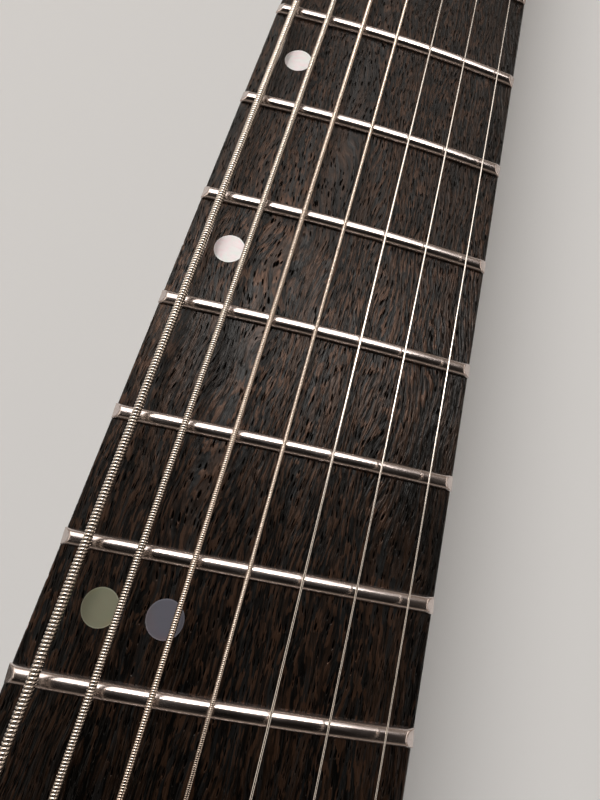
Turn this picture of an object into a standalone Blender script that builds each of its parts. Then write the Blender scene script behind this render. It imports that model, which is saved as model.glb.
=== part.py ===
"""Seven-string electric guitar with a fanned fretboard, lying on its back.

X runs across the strings, with the treble side at plus X. Y runs along the neck,
towards the headstock. Z points up out of the fretboard. The body's back lies at z = 0,
and the origin is under the middle of the whole guitar's box. Distances called "along"
are measured from the nut towards the bridge, on the centre line.
"""

import math

import bmesh
import bpy
import numpy as np
from mathutils import Matrix, Vector

# Scale lengths, string spreads and frets
BASS_SCALE = 0.6858
TREBLE_SCALE = 0.6477
SQUARE_FRET = 8
FRET_COUNT = 22
NUT_SPREAD = 0.0422
BRIDGE_SPREAD = 0.0600
STRING_DIAMETERS = (0.00157, 0.00127, 0.00104, 0.00076, 0.00043, 0.00034, 0.00028)
ACTION_NUT = 0.0004
ACTION_TWELFTH = 0.0018

# Clearance between pieces that touch
CLEAR = 0.0003

# Fretboard and frets
NUT_WIDTH = 0.0503
TWELFTH_WIDTH = 0.0616
BOARD_RADIUS = 0.350
BOARD_THICKNESS = 0.0060
BOARD_OVERHANG = 0.0070
FRET_HEIGHT = 0.00125
FRET_WIDTH = 0.0027
FRET_BEVEL = 0.0006
TANG_WIDTH = 0.0006
TANG_DEPTH = 0.0016
TANG_SHY = 0.0008
BLIND_SHARE = 0.92

# Nut
NUT_THICKNESS = 0.0050
NUT_SLOT_WALL = 0.0006

# Neck and headstock
NECK_DEPTH_NUT = 0.0140
NECK_DEPTH_TWELFTH = 0.0158
HEEL_DEPTH = 0.0210
HEEL_START = 0.4180
HEEL_RUN = 0.0260
HEAD_DROP = 0.0038
HEAD_THICKNESS = 0.0150
HEAD_LENGTH = 0.2080
ROD_WIDTH = 0.0060
ROD_DEPTH = 0.0090
ROD_START = 0.0160
ROD_END = 0.4400

# Body
BODY_LENGTH = 0.4360
BODY_HALF_WIDTH = 0.1650
BODY_END = 0.7900
WIDEST_ALONG = 0.1000
WAIST_HALF = 0.1190
WAIST_ALONG = 0.2380
CUTAWAY_HALF = 0.0400
CUTAWAY_ALONG = 0.3420
BASS_HORN_X = 0.1300
TREBLE_HORN_X = 0.1290
TREBLE_HORN_ALONG = 0.3960
BODY_THICKNESS = 0.0420
BODY_ROUND = 0.0070
POCKET_DEPTH = 0.0180

# Tuners
FIRST_POST = 0.0320
POST_STEP = 0.0250
POST_RADIUS = 0.0030
POST_WAIST = 0.0026
POST_RISE = 0.0170
WIND_HEIGHT = 0.0062
WIND_TURNS = 1.25
WIND_GAP = 0.00045
SLEEVE_RADIUS = 0.0047
SLEEVE_RISE = 0.0022
GEAR_TEETH = 14
GEAR_RADIUS = 0.0042
GEAR_THICKNESS = 0.0034
WORM_RADIUS = 0.0020
WORM_REACH = 0.0050
HOUSING_WALL = 0.0014
STRIP_THICKNESS = 0.0012
HEAD_EDGE = 0.0110
KEY_NECK = 0.0050
BUTTON_LENGTH = 0.0140
BUTTON_WIDTH = 0.0190
BUTTON_THICKNESS = 0.0072

# Bridge
BRIDGE_HALF_WIDTH = 0.0420
BRIDGE_PLATE = 0.0025
BRIDGE_FRONT = 0.0110
BRIDGE_BACK = 0.0310
SADDLE_WIDTH = 0.0084
SADDLE_FRONT = 0.0060
SADDLE_BACK = 0.0130
WALL_FROM = 0.0200
WALL_THICKNESS = 0.0035
WALL_HEIGHT = 0.0058
BALL_RADIUS = 0.0018
BALL_LENGTH = 0.0030

# Pickups
PICKUP_LENGTH = 0.0890
PICKUP_WIDTH = 0.0380
PICKUP_CORNER = 0.0040
PICKUP_TOP = 0.0100
PICKUP_DEPTH = 0.0180
PICKUP_EDGE = 0.0015
NECK_PICKUP_GAP = 0.0060
BRIDGE_PICKUP_GAP = 0.0200

# Controls, set in from the body's treble side and its end
CAVITY_CENTRE = (BODY_HALF_WIDTH - 0.0610, BODY_END - 0.1000)
CAVITY_SIZE = (0.0660, 0.0860)
CAVITY_CORNER = 0.0110
CAVITY_ROOF = 0.0050
COVER_LIP = 0.0060
COVER_THICKNESS = 0.0022
VOLUME_PLACE = (BODY_HALF_WIDTH - 0.0730, BODY_END - 0.1260)
TONE_PLACE = (BODY_HALF_WIDTH - 0.0550, BODY_END - 0.0880)
SWITCH_PLACE = (BODY_HALF_WIDTH - 0.0420, BODY_END - 0.1260)
KNOB_RADIUS = 0.0095
KNOB_HEIGHT = 0.0160
KNOB_LIFT = 0.0008
POT_RADIUS = 0.0080
POT_HEIGHT = 0.0080
BUSH_RADIUS = 0.0042
BUSH_RISE = 0.0034
SHAFT_RADIUS = 0.0030
BOARD_PLATE = 0.0016
SWITCH_BUSH = 0.0058
SWITCH_RISE = 0.0040
LEVER_BALL = 0.0032
LEVER_RADIUS = 0.0014
LEVER_LENGTH = 0.0170
LEVER_TIP = 0.0028
JACK_FLANGE = 0.0120
JACK_FLANGE_THICKNESS = 0.0020
JACK_BARREL = 0.0055
JACK_LENGTH = 0.0220
JACK_BORE = 0.0033
JACK_RECESS = 0.0030

# Strap buttons
STRAP_RADIUS = 0.0072
STRAP_LENGTH = 0.0130
STRAP_SCREW = 0.0018
STRAP_SCREW_LENGTH = 0.0180

# Values that follow from the sizes above
SPREADS = (NUT_SPREAD, BRIDGE_SPREAD)
MEAN_SCALE = (BASS_SCALE + TREBLE_SCALE) / 2
HALF_FAN = (BASS_SCALE - TREBLE_SCALE) / 2
STRING_COUNT = len(STRING_DIAMETERS)
GUITAR_END = BODY_END + CLEAR + STRAP_LENGTH
NUT_Y = (GUITAR_END - HEAD_LENGTH) / 2
NECK_TOP = BODY_THICKNESS - POCKET_DEPTH + CLEAR + HEEL_DEPTH
BOARD_TOP = NECK_TOP + CLEAR + BOARD_THICKNESS
HEAD_FACE = NECK_TOP - HEAD_DROP
HEAD_BACK = HEAD_FACE - HEAD_THICKNESS
PLATE_TOP = BODY_THICKNESS + CLEAR + BRIDGE_PLATE


def share_of(fret):
    """Share of the scale length between the nut and a fret."""
    return 1 - 2 ** (-fret / 12)


SQUARE_SHARE = share_of(SQUARE_FRET)
BOARD_SLOPE = (TWELFTH_WIDTH - NUT_WIDTH) / 2 / (MEAN_SCALE * share_of(12))
BOARD_END_SHARE = share_of(FRET_COUNT) + BOARD_OVERHANG / MEAN_SCALE
HEEL_END = MEAN_SCALE * BOARD_END_SHARE


def half_spread(share):
    """Half the distance between the outer strings at a share of the scale."""
    return (SPREADS[0] + (SPREADS[1] - SPREADS[0]) * share) / 2


def fan_slope(share):
    """How much y changes for each metre of x along a fan line."""
    return HALF_FAN * (share - SQUARE_SHARE) / half_spread(share)


def fan_y(x, share):
    """The y of the fan line of a share, at x. Share 0 is the nut and 1 the saddles."""
    return NUT_Y - MEAN_SCALE * share + fan_slope(share) * x


def board_half(along):
    """Half the fretboard's width at a distance from the nut."""
    return NUT_WIDTH / 2 + BOARD_SLOPE * along


def board_edge(share, side):
    """The x where a fan line meets the board's edge. Side is -1 for bass, 1 for treble."""
    half = board_half(MEAN_SCALE * share)
    return side * half / (1 + side * BOARD_SLOPE * fan_slope(share))


def board_z(x):
    """Height of the fretboard's curved face."""
    return BOARD_TOP - x * x / (2 * BOARD_RADIUS)


def string_weight(index):
    """Place of a string between the outer two, from -1 for bass to 1 for treble."""
    return -1 + 2 * index / (STRING_COUNT - 1)


def string_point(index, share):
    """Centre of a string where it crosses the fan line of a share, open string."""
    weight = string_weight(index)
    x_nut = weight * half_spread(0)
    x_bridge = weight * half_spread(1)
    start = Vector((x_nut, fan_y(x_nut, 0)))
    end = Vector((x_bridge, fan_y(x_bridge, 1)))
    plan = start.lerp(end, share)
    rise = ACTION_NUT + (ACTION_TWELFTH - ACTION_NUT) * 2 * share
    bottom = board_z(plan.x) + FRET_HEIGHT + rise
    return Vector((plan.x, plan.y, bottom + STRING_DIAMETERS[index] / 2))


def clear_scene():
    """Remove every object that a new file starts with."""
    for old in list(bpy.data.objects):
        bpy.data.objects.remove(old, do_unlink=True)


def make_material(name, colour, roughness, metallic):
    """A plain Principled material."""
    material = bpy.data.materials.new(name)
    material.use_nodes = True
    shader = material.node_tree.nodes["Principled BSDF"]
    shader.inputs["Base Color"].default_value = (*colour, 1)
    shader.inputs["Roughness"].default_value = roughness
    shader.inputs["Metallic"].default_value = metallic
    material.diffuse_color = (*colour, 1)
    return material


FINISHES = {
    "body_lacquer": ((0.012, 0.012, 0.013), 0.3, 0.0),
    "neck_wood": ((0.16, 0.09, 0.05), 0.5, 0.0),
    "dark_board": ((0.035, 0.024, 0.018), 0.5, 0.0),
    "fret_wire": ((0.72, 0.70, 0.66), 0.2, 1.0),
    "nut_bone": ((0.05, 0.05, 0.05), 0.4, 0.0),
    "string_steel": ((0.62, 0.60, 0.57), 0.3, 1.0),
    "black_hardware": ((0.03, 0.03, 0.032), 0.35, 1.0),
    "post_steel": ((0.45, 0.45, 0.46), 0.25, 1.0),
    "pickup_plastic": ((0.015, 0.015, 0.016), 0.4, 0.0),
    "circuit_plate": ((0.02, 0.10, 0.05), 0.5, 0.0),
    "rod_steel": ((0.5, 0.5, 0.5), 0.4, 1.0),
    "cover_plastic": ((0.02, 0.02, 0.02), 0.5, 0.0),
}


def finish_object(name, mesh, finish, smooth=False):
    """Link a mesh as a named object with a material of its own."""
    thing = bpy.data.objects.new(name, mesh)
    bpy.context.scene.collection.objects.link(thing)
    colour, roughness, metallic = FINISHES[finish]
    mesh.materials.clear()
    mesh.materials.append(make_material(name + "_finish", colour, roughness, metallic))
    if smooth:
        mesh.shade_smooth()
        mesh.set_sharp_from_angle(angle=math.radians(35))
    return thing


def as_mesh(name, shape):
    """Turn a bmesh into a mesh, with its faces pointing out."""
    bmesh.ops.recalc_face_normals(shape, faces=shape.faces)
    mesh = bpy.data.meshes.new(name)
    shape.to_mesh(mesh)
    shape.free()
    return mesh


def add_loft(shape, rings, cap_start=True, cap_end=True):
    """Skin closed rings of equal length, in order, and cap the ends."""
    layers = [[shape.verts.new(point) for point in ring] for ring in rings]
    count = len(layers[0])
    for low, high in zip(layers, layers[1:]):
        for i in range(count):
            j = (i + 1) % count
            shape.faces.new((low[i], low[j], high[j], high[i]))
    if cap_start:
        shape.faces.new(layers[0][::-1])
    if cap_end:
        shape.faces.new(layers[-1])
    return layers


def loft_mesh(name, rings):
    """One closed loft as a mesh."""
    shape = bmesh.new()
    add_loft(shape, rings)
    return as_mesh(name, shape)


def add_lathe(shape, profile, place, sides):
    """Turn a list of (radius, height) about the Z axis of place. Radius 0 is a pole."""
    rings = []
    for radius, height in profile:
        if radius == 0:
            rings.append([shape.verts.new(place @ Vector((0, 0, height)))])
            continue
        ring = []
        for i in range(sides):
            angle = 2 * math.pi * i / sides
            spot = Vector((radius * math.cos(angle), radius * math.sin(angle), height))
            ring.append(shape.verts.new(place @ spot))
        rings.append(ring)
    for low, high in zip(rings, rings[1:]):
        for i in range(sides):
            j = (i + 1) % sides
            if len(low) == 1:
                shape.faces.new((low[0], high[j], high[i]))
            elif len(high) == 1:
                shape.faces.new((low[i], low[j], high[0]))
            else:
                shape.faces.new((low[i], low[j], high[j], high[i]))


def lathe_mesh(name, profile, place, sides=24):
    """One turned body as a mesh."""
    shape = bmesh.new()
    add_lathe(shape, profile, place, sides)
    return as_mesh(name, shape)


def plain_cylinder(radius, low, high):
    """Profile of a solid cylinder."""
    return [(0, low), (radius, low), (radius, high), (0, high)]


def upright(x, y, z=0.0):
    """Placement of a vertical axis."""
    return Matrix.Translation((x, y, z))


def facing(origin, direction):
    """Placement whose Z axis points along direction."""
    turn = Vector(direction).to_track_quat("Z", "Y").to_matrix().to_4x4()
    return Matrix.Translation(origin) @ turn


def prism_mesh(name, outline, low, high):
    """A flat outline of (x, y) points raised from one height to another."""
    rings = [[(x, y, z) for x, y in outline] for z in (low, high)]
    return loft_mesh(name, rings)


def rounded_rectangle(width, length, corner, steps=4):
    """Outline of a rectangle with round corners, about its centre."""
    points = []
    corners = ((1, 1, 0), (-1, 1, 90), (-1, -1, 180), (1, -1, 270))
    for sx, sy, start in corners:
        cx = sx * (width / 2 - corner)
        cy = sy * (length / 2 - corner)
        for i in range(steps + 1):
            angle = math.radians(start + 90 * i / steps)
            points.append((cx + corner * math.cos(angle), cy + corner * math.sin(angle)))
    return points


def placed(outline, x, y, angle=0.0):
    """Turn an outline by an angle and move it."""
    c, s = math.cos(angle), math.sin(angle)
    return [(x + c * px - s * py, y + s * px + c * py) for px, py in outline]


def smooth_loop(points, steps):
    """A closed curve through the points, with even steps between each two."""
    count = len(points)
    curve = []
    for i in range(count):
        p0, p1, p2, p3 = (np.array(points[(i + k - 1) % count]) for k in range(4))
        for step in range(steps):
            t = step / steps
            a = 2 * p1
            b = p2 - p0
            c = 2 * p0 - 5 * p1 + 4 * p2 - p3
            d = -p0 + 3 * p1 - 3 * p2 + p3
            curve.append(tuple((a + b * t + c * t ** 2 + d * t ** 3) / 2))
    return curve


def tool(name, mesh):
    """A hidden helper solid for a Boolean."""
    helper = bpy.data.objects.new(name, mesh)
    bpy.context.scene.collection.objects.link(helper)
    helper.hide_render = True
    helper.display_type = "WIRE"
    return helper


def combine(thing, helper, operation):
    """Add an exact Boolean with a helper solid."""
    step = thing.modifiers.new(helper.name, "BOOLEAN")
    step.operation = operation
    step.solver = "EXACT"
    step.object = helper


def bass_horn(out, back):
    """A point by the bass horn's tip: outwards across the body, and back along it."""
    return (-BASS_HORN_X - out, BODY_END - BODY_LENGTH + back)


def treble_horn(out, back):
    """A point by the treble horn's tip: outwards across the body, and back along it."""
    return (TREBLE_HORN_X + out, BODY_END - TREBLE_HORN_ALONG + back)


# The body's outline as (x, along) points, from the end round the bass side
BODY_POINTS = (
    (0.000, BODY_END),
    (-0.072, BODY_END - 0.007),
    (-0.128, BODY_END - 0.036),
    (-BODY_HALF_WIDTH, BODY_END - WIDEST_ALONG),
    (-WAIST_HALF - 0.0295, BODY_END - WAIST_ALONG + 0.070),
    (-WAIST_HALF, BODY_END - WAIST_ALONG),
    bass_horn(-0.0060, 0.138),
    bass_horn(0.0080, 0.084),
    bass_horn(0.0175, 0.036),
    bass_horn(0.0140, 0.009),
    bass_horn(0, 0),
    bass_horn(-0.0160, 0.010),
    bass_horn(-0.0400, 0.044),
    bass_horn(-0.0640, 0.077),
    (-CUTAWAY_HALF, BODY_END - CUTAWAY_ALONG - 0.002),
    (0.000, BODY_END - CUTAWAY_ALONG),
    (CUTAWAY_HALF, BODY_END - CUTAWAY_ALONG + 0.007),
    treble_horn(-0.0640, 0.058),
    treble_horn(-0.0420, 0.034),
    treble_horn(-0.0170, 0.009),
    treble_horn(0, 0),
    treble_horn(0.0125, 0.0115),
    treble_horn(0.0140, 0.038),
    treble_horn(0.0030, 0.090),
    (WAIST_HALF, BODY_END - WAIST_ALONG),
    (WAIST_HALF + 0.0295, BODY_END - WAIST_ALONG + 0.070),
    (BODY_HALF_WIDTH, BODY_END - WIDEST_ALONG),
    (0.128, BODY_END - 0.036),
    (0.072, BODY_END - 0.007),
)
OUTLINE_STEPS = 3

# The headstock's outline as (x, beyond the nut) points on its treble side
HEAD_TREBLE = (
    (0.0262, -0.004),
    (0.0275, 0.022),
    (0.0300, 0.070),
    (0.0325, 0.120),
    (0.0345, 0.165),
    (0.0340, 0.190),
    (0.0270, 0.204),
    (0.0180, HEAD_LENGTH),
)


def body_outline():
    """The body's outline in x and y."""
    loop = smooth_loop(BODY_POINTS, OUTLINE_STEPS)
    return [(x, NUT_Y - along) for x, along in loop]


def post_by(index):
    """Centre of a post that its string meets in a straight line."""
    at_nut = string_point(index, 0)
    towards = (at_nut - string_point(index, 1)).to_2d()
    y = NUT_Y + FIRST_POST + POST_STEP * index
    x = at_nut.x + towards.x / towards.y * (y - at_nut.y)
    return Vector((x - wind_radius(index), y))


def post_places():
    """Centre of each post, all on the line between the two outer ones."""
    first, last = post_by(0), post_by(STRING_COUNT - 1)
    return [first.lerp(last, index / (STRING_COUNT - 1)) for index in range(STRING_COUNT)]


def wind_radius(index):
    """Distance from a post's axis to the centre of the string wound on it."""
    return POST_RADIUS + CLEAR + STRING_DIAMETERS[index] / 2


POSTS = post_places()
ROW_DIRECTION = (POSTS[-1] - POSTS[0]).normalized()
KEY_DIRECTION = Vector((-ROW_DIRECTION.y, ROW_DIRECTION.x))
MESH_DISTANCE = GEAR_RADIUS + WORM_RADIUS + CLEAR
HOUSING_REACH = GEAR_RADIUS + CLEAR + HOUSING_WALL
HOUSING_OUT = HEAD_EDGE - 0.0015
CHAMBER_TOP = HEAD_BACK - CLEAR - STRIP_THICKNESS
CHAMBER_HEIGHT = GEAR_THICKNESS + 2 * CLEAR
HOUSING_HEIGHT = CHAMBER_HEIGHT + HOUSING_WALL
KEY_Z = CHAMBER_TOP - CHAMBER_HEIGHT / 2


def row_point(along_row, out, origin):
    """A plan point in the tuner row's own directions."""
    return origin + ROW_DIRECTION * along_row + KEY_DIRECTION * out


def make_body():
    """Solid body with its pockets, cavities and holes."""
    outline = body_outline()
    body = finish_object("body", prism_mesh("body", outline, 0, BODY_THICKNESS), "body_lacquer")
    rounding = body.modifiers.new("rounded_edges", "BEVEL")
    rounding.width = BODY_ROUND
    rounding.segments = 2
    rounding.limit_method = "ANGLE"
    rounding.angle_limit = math.radians(60)
    combine(body, tool("pocket_cut", neck_loft("pocket_cut", CLEAR, HEEL_START)), "DIFFERENCE")
    for name, share in pickup_shares().items():
        hole = pickup_outline(share, CLEAR)
        floor = BODY_THICKNESS - PICKUP_DEPTH
        cutter = prism_mesh(name + "_cut", hole, floor, BODY_THICKNESS + 0.01)
        combine(body, tool(name + "_cut", cutter), "DIFFERENCE")
    combine(body, tool("cavity_cut", cavity_cutter()), "DIFFERENCE")
    lip = cavity_outline(COVER_LIP + CLEAR)
    ledge = prism_mesh("ledge_cut", lip, -0.01, COVER_THICKNESS + 2 * CLEAR)
    combine(body, tool("ledge_cut", ledge), "DIFFERENCE")
    combine(body, tool("control_holes", control_holes()), "DIFFERENCE")
    combine(body, tool("jack_cut", jack_cutter()), "DIFFERENCE")
    combine(body, tool("strap_holes", strap_holes()), "DIFFERENCE")
    return body


def neck_section(along, depth, exponent, extra, shear, half=None):
    """Ring of points round the neck: flat on top and rounded behind."""
    width = (board_half(along) if half is None else half) + extra
    ring = []
    steps = 14
    for i in range(steps + 1):
        angle = math.pi * i / steps
        c, s = math.cos(angle), math.sin(angle)
        x = width * math.copysign(abs(c) ** (2 / exponent), c)
        z = NECK_TOP - (depth + extra) * s ** (2 / exponent)
        ring.append((x, NUT_Y - along + shear * x, z))
    if extra:
        rise = BODY_THICKNESS + 0.01
        ring[0] = (width, ring[0][1], rise)
        ring[-1] = (-width, ring[-1][1], rise)
    return ring


def neck_depth(along):
    """Depth of the neck's wood in its playing length."""
    twelfth = MEAN_SCALE * share_of(12)
    return NECK_DEPTH_NUT + (NECK_DEPTH_TWELFTH - NECK_DEPTH_NUT) * along / twelfth


def neck_loft(name, extra, start):
    """The neck's wood from a start to its heel. Extra makes it a cutter for the pocket."""
    round_back, square_back = 2.3, 9.0
    stations = []
    heel_at = HEEL_START + HEEL_RUN
    if extra:
        stations.append((HEEL_START, HEEL_DEPTH, square_back))
    else:
        for along in (start, 0.012, 0.060, 0.170, 0.300, HEEL_START - 0.012):
            stations.append((along, neck_depth(max(along, 0)), round_back))
        steps = 4
        for i in range(1, steps):
            t = i / steps
            ease = t * t * (3 - 2 * t)
            along = HEEL_START - 0.012 + (HEEL_RUN + 0.012) * t
            depth = neck_depth(along) * (1 - ease) + HEEL_DEPTH * ease
            stations.append((along, depth, round_back + (square_back - round_back) * ease ** 2))
    stations.append((heel_at, HEEL_DEPTH, square_back))
    slope = fan_slope(BOARD_END_SHARE)
    rings = [neck_section(a, d, e, extra, 0) for a, d, e in stations]
    rings.append(neck_section(HEEL_END + extra, HEEL_DEPTH, square_back, extra, slope))
    return loft_mesh(name, rings)


def head_outline():
    """The headstock's outline in x and y, straight along the tuner row."""
    treble = [(x, NUT_Y + beyond) for x, beyond in HEAD_TREBLE]
    far = row_point(0.014, HEAD_EDGE, POSTS[-1])
    near = row_point(-0.013, HEAD_EDGE, POSTS[0])
    bass = [tuple(far), tuple(far.lerp(near, 0.33)), tuple(far.lerp(near, 0.66)), tuple(near)]
    flare = [(-0.0292, NUT_Y + 0.006), (-0.0262, NUT_Y - 0.004)]
    tip = [(0.0090, NUT_Y + HEAD_LENGTH - 0.0035)]
    inside = [(-0.0200, NUT_Y - 0.012), (0.0200, NUT_Y - 0.012)]
    curve = smooth_open(treble + tip + bass + flare, 4)
    return curve + inside


def smooth_open(points, steps):
    """A curve through the points, open at its ends."""
    first = tuple(2 * np.array(points[0]) - np.array(points[1]))
    last = tuple(2 * np.array(points[-1]) - np.array(points[-2]))
    full = smooth_loop([first, *points, last], steps)
    return full[steps:steps * len(points) + 1]


def make_neck():
    """Neck with its heel, headstock, truss rod channel and post holes."""
    back_of_nut = -0.018
    neck = finish_object("neck", neck_loft("neck", 0, back_of_nut), "neck_wood")
    head = prism_mesh("head_slab", head_outline(), HEAD_BACK, HEAD_FACE)
    combine(neck, tool("head_slab", head), "UNION")
    combine(neck, tool("head_step", head_step()), "DIFFERENCE")
    channel_half = ROD_WIDTH / 2 + CLEAR
    y_far = NUT_Y - ROD_START + CLEAR
    y_near = NUT_Y - ROD_END - CLEAR
    outline = [
        (-channel_half, y_near),
        (channel_half, y_near),
        (channel_half, y_far),
        (-channel_half, y_far),
    ]
    floor = NECK_TOP - ROD_DEPTH - 2 * CLEAR
    channel = prism_mesh("rod_channel", outline, floor, NECK_TOP + 0.01)
    combine(neck, tool("rod_channel", channel), "DIFFERENCE")
    shape = bmesh.new()
    for post in POSTS:
        hole = plain_cylinder(SLEEVE_RADIUS + CLEAR, HEAD_BACK - 0.005, HEAD_FACE + 0.005)
        add_lathe(shape, hole, upright(post.x, post.y), 16)
    combine(neck, tool("post_holes", as_mesh("post_holes", shape)), "DIFFERENCE")
    return neck


def head_step():
    """Cutter that lowers the neck's top behind the nut, with a hollow curve."""
    slope = fan_slope(0)
    start = NUT_THICKNESS + 0.001
    radius = HEAD_DROP
    profile = [(start, NECK_TOP + 0.01), (start, NECK_TOP)]
    for i in range(1, 5):
        angle = math.radians(90 * i / 4)
        profile.append((start + radius * math.sin(angle), NECK_TOP - radius * (1 - math.cos(angle))))
    profile[-1] = (start + radius, HEAD_FACE)
    profile += [(0.060, HEAD_FACE), (0.060, NECK_TOP + 0.01)]
    rings = []
    for x in (-0.045, 0.045):
        rings.append([(x, NUT_Y + beyond + slope * x, z) for beyond, z in profile])
    return loft_mesh("head_step", rings)


def board_columns():
    """Shares of the half width at which the board's face is divided."""
    inner = (0.62, 0.21)
    right = [1.0, BLIND_SHARE, *inner]
    return [-u for u in right] + right[::-1]


def board_x(share, column):
    """The x of a board column on a fan line."""
    return abs(column) * board_edge(share, math.copysign(1, column))


def make_fretboard():
    """Fretboard with a curved face and a blind slot under each fret."""
    slot_half = (TANG_WIDTH / 2 + CLEAR) / MEAN_SCALE
    shares = [0.0]
    for fret in range(1, FRET_COUNT + 1):
        shares += [share_of(fret) - slot_half, share_of(fret) + slot_half]
    shares.append(BOARD_END_SHARE)
    columns = board_columns()
    shape = bmesh.new()
    top = []
    for share in shares:
        row = []
        for column in columns:
            x = board_x(share, column)
            row.append(shape.verts.new((x, fan_y(x, share), board_z(x))))
        top.append(row)
    slots = []
    for i in range(len(shares) - 1):
        for j in range(len(columns) - 1):
            face = shape.faces.new((top[i][j], top[i + 1][j], top[i + 1][j + 1], top[i][j + 1]))
            if i % 2 == 1 and 0 < j < len(columns) - 2:
                slots.append(face)
    ends = (0, -1)
    corners = {}
    for i in ends:
        for j in ends:
            spot = top[i][j].co
            corners[i, j] = shape.verts.new((spot.x, spot.y, NECK_TOP + CLEAR))
    shape.faces.new([corners[0, 0], corners[0, -1], corners[-1, -1], corners[-1, 0]])
    shape.faces.new(top[0] + [corners[0, -1], corners[0, 0]])
    shape.faces.new(top[-1] + [corners[-1, -1], corners[-1, 0]])
    shape.faces.new([row[0] for row in top] + [corners[-1, 0], corners[0, 0]])
    shape.faces.new([row[-1] for row in top] + [corners[-1, -1], corners[0, -1]])
    bmesh.ops.recalc_face_normals(shape, faces=shape.faces)
    grown = bmesh.ops.extrude_face_region(shape, geom=slots)
    sunk = [item for item in grown["geom"] if isinstance(item, bmesh.types.BMVert)]
    depth = TANG_DEPTH + 2 * CLEAR
    bmesh.ops.translate(shape, verts=sunk, vec=(0, 0, -depth))
    bmesh.ops.delete(shape, geom=slots, context="FACES_ONLY")
    return finish_object("fretboard", as_mesh("fretboard", shape), "dark_board")


def fret_section(x, share, height, slope):
    """Points of a fret's crown across its length at x, from one foot to the other."""
    length = math.hypot(1, slope)
    across = Vector((-slope / length, 1 / length))
    base = Vector((x, fan_y(x, share)))
    foot = board_z(x) + CLEAR
    half = FRET_WIDTH / 2
    points = []
    steps = 4
    for i in range(steps + 1):
        angle = math.pi * i / steps
        offset = half * math.cos(angle)
        spot = base + across * offset
        points.append((spot.x, spot.y, foot + height * math.sin(angle)))
    for offset in (-TANG_WIDTH / 2, TANG_WIDTH / 2):
        spot = base + across * offset
        points.append((spot.x, spot.y, foot))
    return points


def make_fret(number):
    """One fret with bevelled ends and a tang that stops short of them."""
    share = share_of(number)
    slope = fan_slope(share)
    crown = FRET_HEIGHT - CLEAR
    columns = board_columns()[1:-1]
    stations = []
    for side in (-1, 1):
        edge = board_edge(share, side)
        ends = [(edge, crown * 0.30), (edge - side * FRET_BEVEL, crown)]
        stations += ends if side < 0 else ends[::-1]
        if side < 0:
            inner = [board_x(share, column) for column in columns]
            inner[0] += TANG_SHY
            inner[-1] -= TANG_SHY
            stations += [(x, crown) for x in inner]
    rings = [fret_section(x, share, height, slope) for x, height in stations]
    shape = bmesh.new()
    layers = add_loft(shape, rings)
    shape.verts.ensure_lookup_table()
    underside = []
    for low, high in list(zip(layers, layers[1:]))[2:-2]:
        edge = {low[-2], low[-1], high[-2], high[-1]}
        underside += [face for face in low[-1].link_faces if set(face.verts) == edge]
    bmesh.ops.recalc_face_normals(shape, faces=shape.faces)
    grown = bmesh.ops.extrude_face_region(shape, geom=underside)
    sunk = [item for item in grown["geom"] if isinstance(item, bmesh.types.BMVert)]
    bmesh.ops.translate(shape, verts=sunk, vec=(0, 0, -TANG_DEPTH))
    bmesh.ops.delete(shape, geom=underside, context="FACES_ONLY")
    name = f"fret_{number:02d}"
    return finish_object(name, as_mesh(name, shape), "fret_wire", smooth=True)


def make_nut():
    """Nut with an open slot for each string, set along the fan's first line."""
    left, right = board_edge(0, -1), board_edge(0, 1)
    profile = [(left, NECK_TOP + CLEAR)]
    shoulder = FRET_HEIGHT + ACTION_NUT
    profile.append((left, board_z(left) + shoulder))
    for index, diameter in enumerate(STRING_DIAMETERS):
        centre = string_point(index, 0)
        half = diameter / 2 + CLEAR
        floor = centre.z - half
        top = floor + max(diameter * 0.6, NUT_SLOT_WALL) + CLEAR
        profile += [
            (centre.x - half, top),
            (centre.x - half, floor),
            (centre.x + half, floor),
            (centre.x + half, top),
        ]
    profile += [(right, board_z(right) + shoulder), (right, NECK_TOP + CLEAR)]
    rings = []
    for beyond in (CLEAR, NUT_THICKNESS):
        rings.append([(x, fan_y(x, 0) + beyond, z) for x, z in profile])
    return finish_object("nut", loft_mesh("nut", rings), "nut_bone")


def make_truss_rod():
    """Truss rod in its channel under the fretboard, with a wheel at the heel end."""
    half = ROD_WIDTH / 2
    top = NECK_TOP - CLEAR
    far, near = NUT_Y - ROD_START, NUT_Y - ROD_END
    outline = [(-half, near + 0.004), (half, near + 0.004), (half, far), (-half, far)]
    rod = finish_object("truss_rod", prism_mesh("truss_rod", outline, top - ROD_DEPTH, top), "rod_steel")
    wheel = lathe_mesh(
        "rod_wheel",
        plain_cylinder(half, 0, 0.006),
        facing((0, near, top - ROD_DEPTH / 2), (0, 1, 0)),
        12,
    )
    combine(rod, tool("rod_wheel", wheel), "UNION")
    return rod


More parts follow.
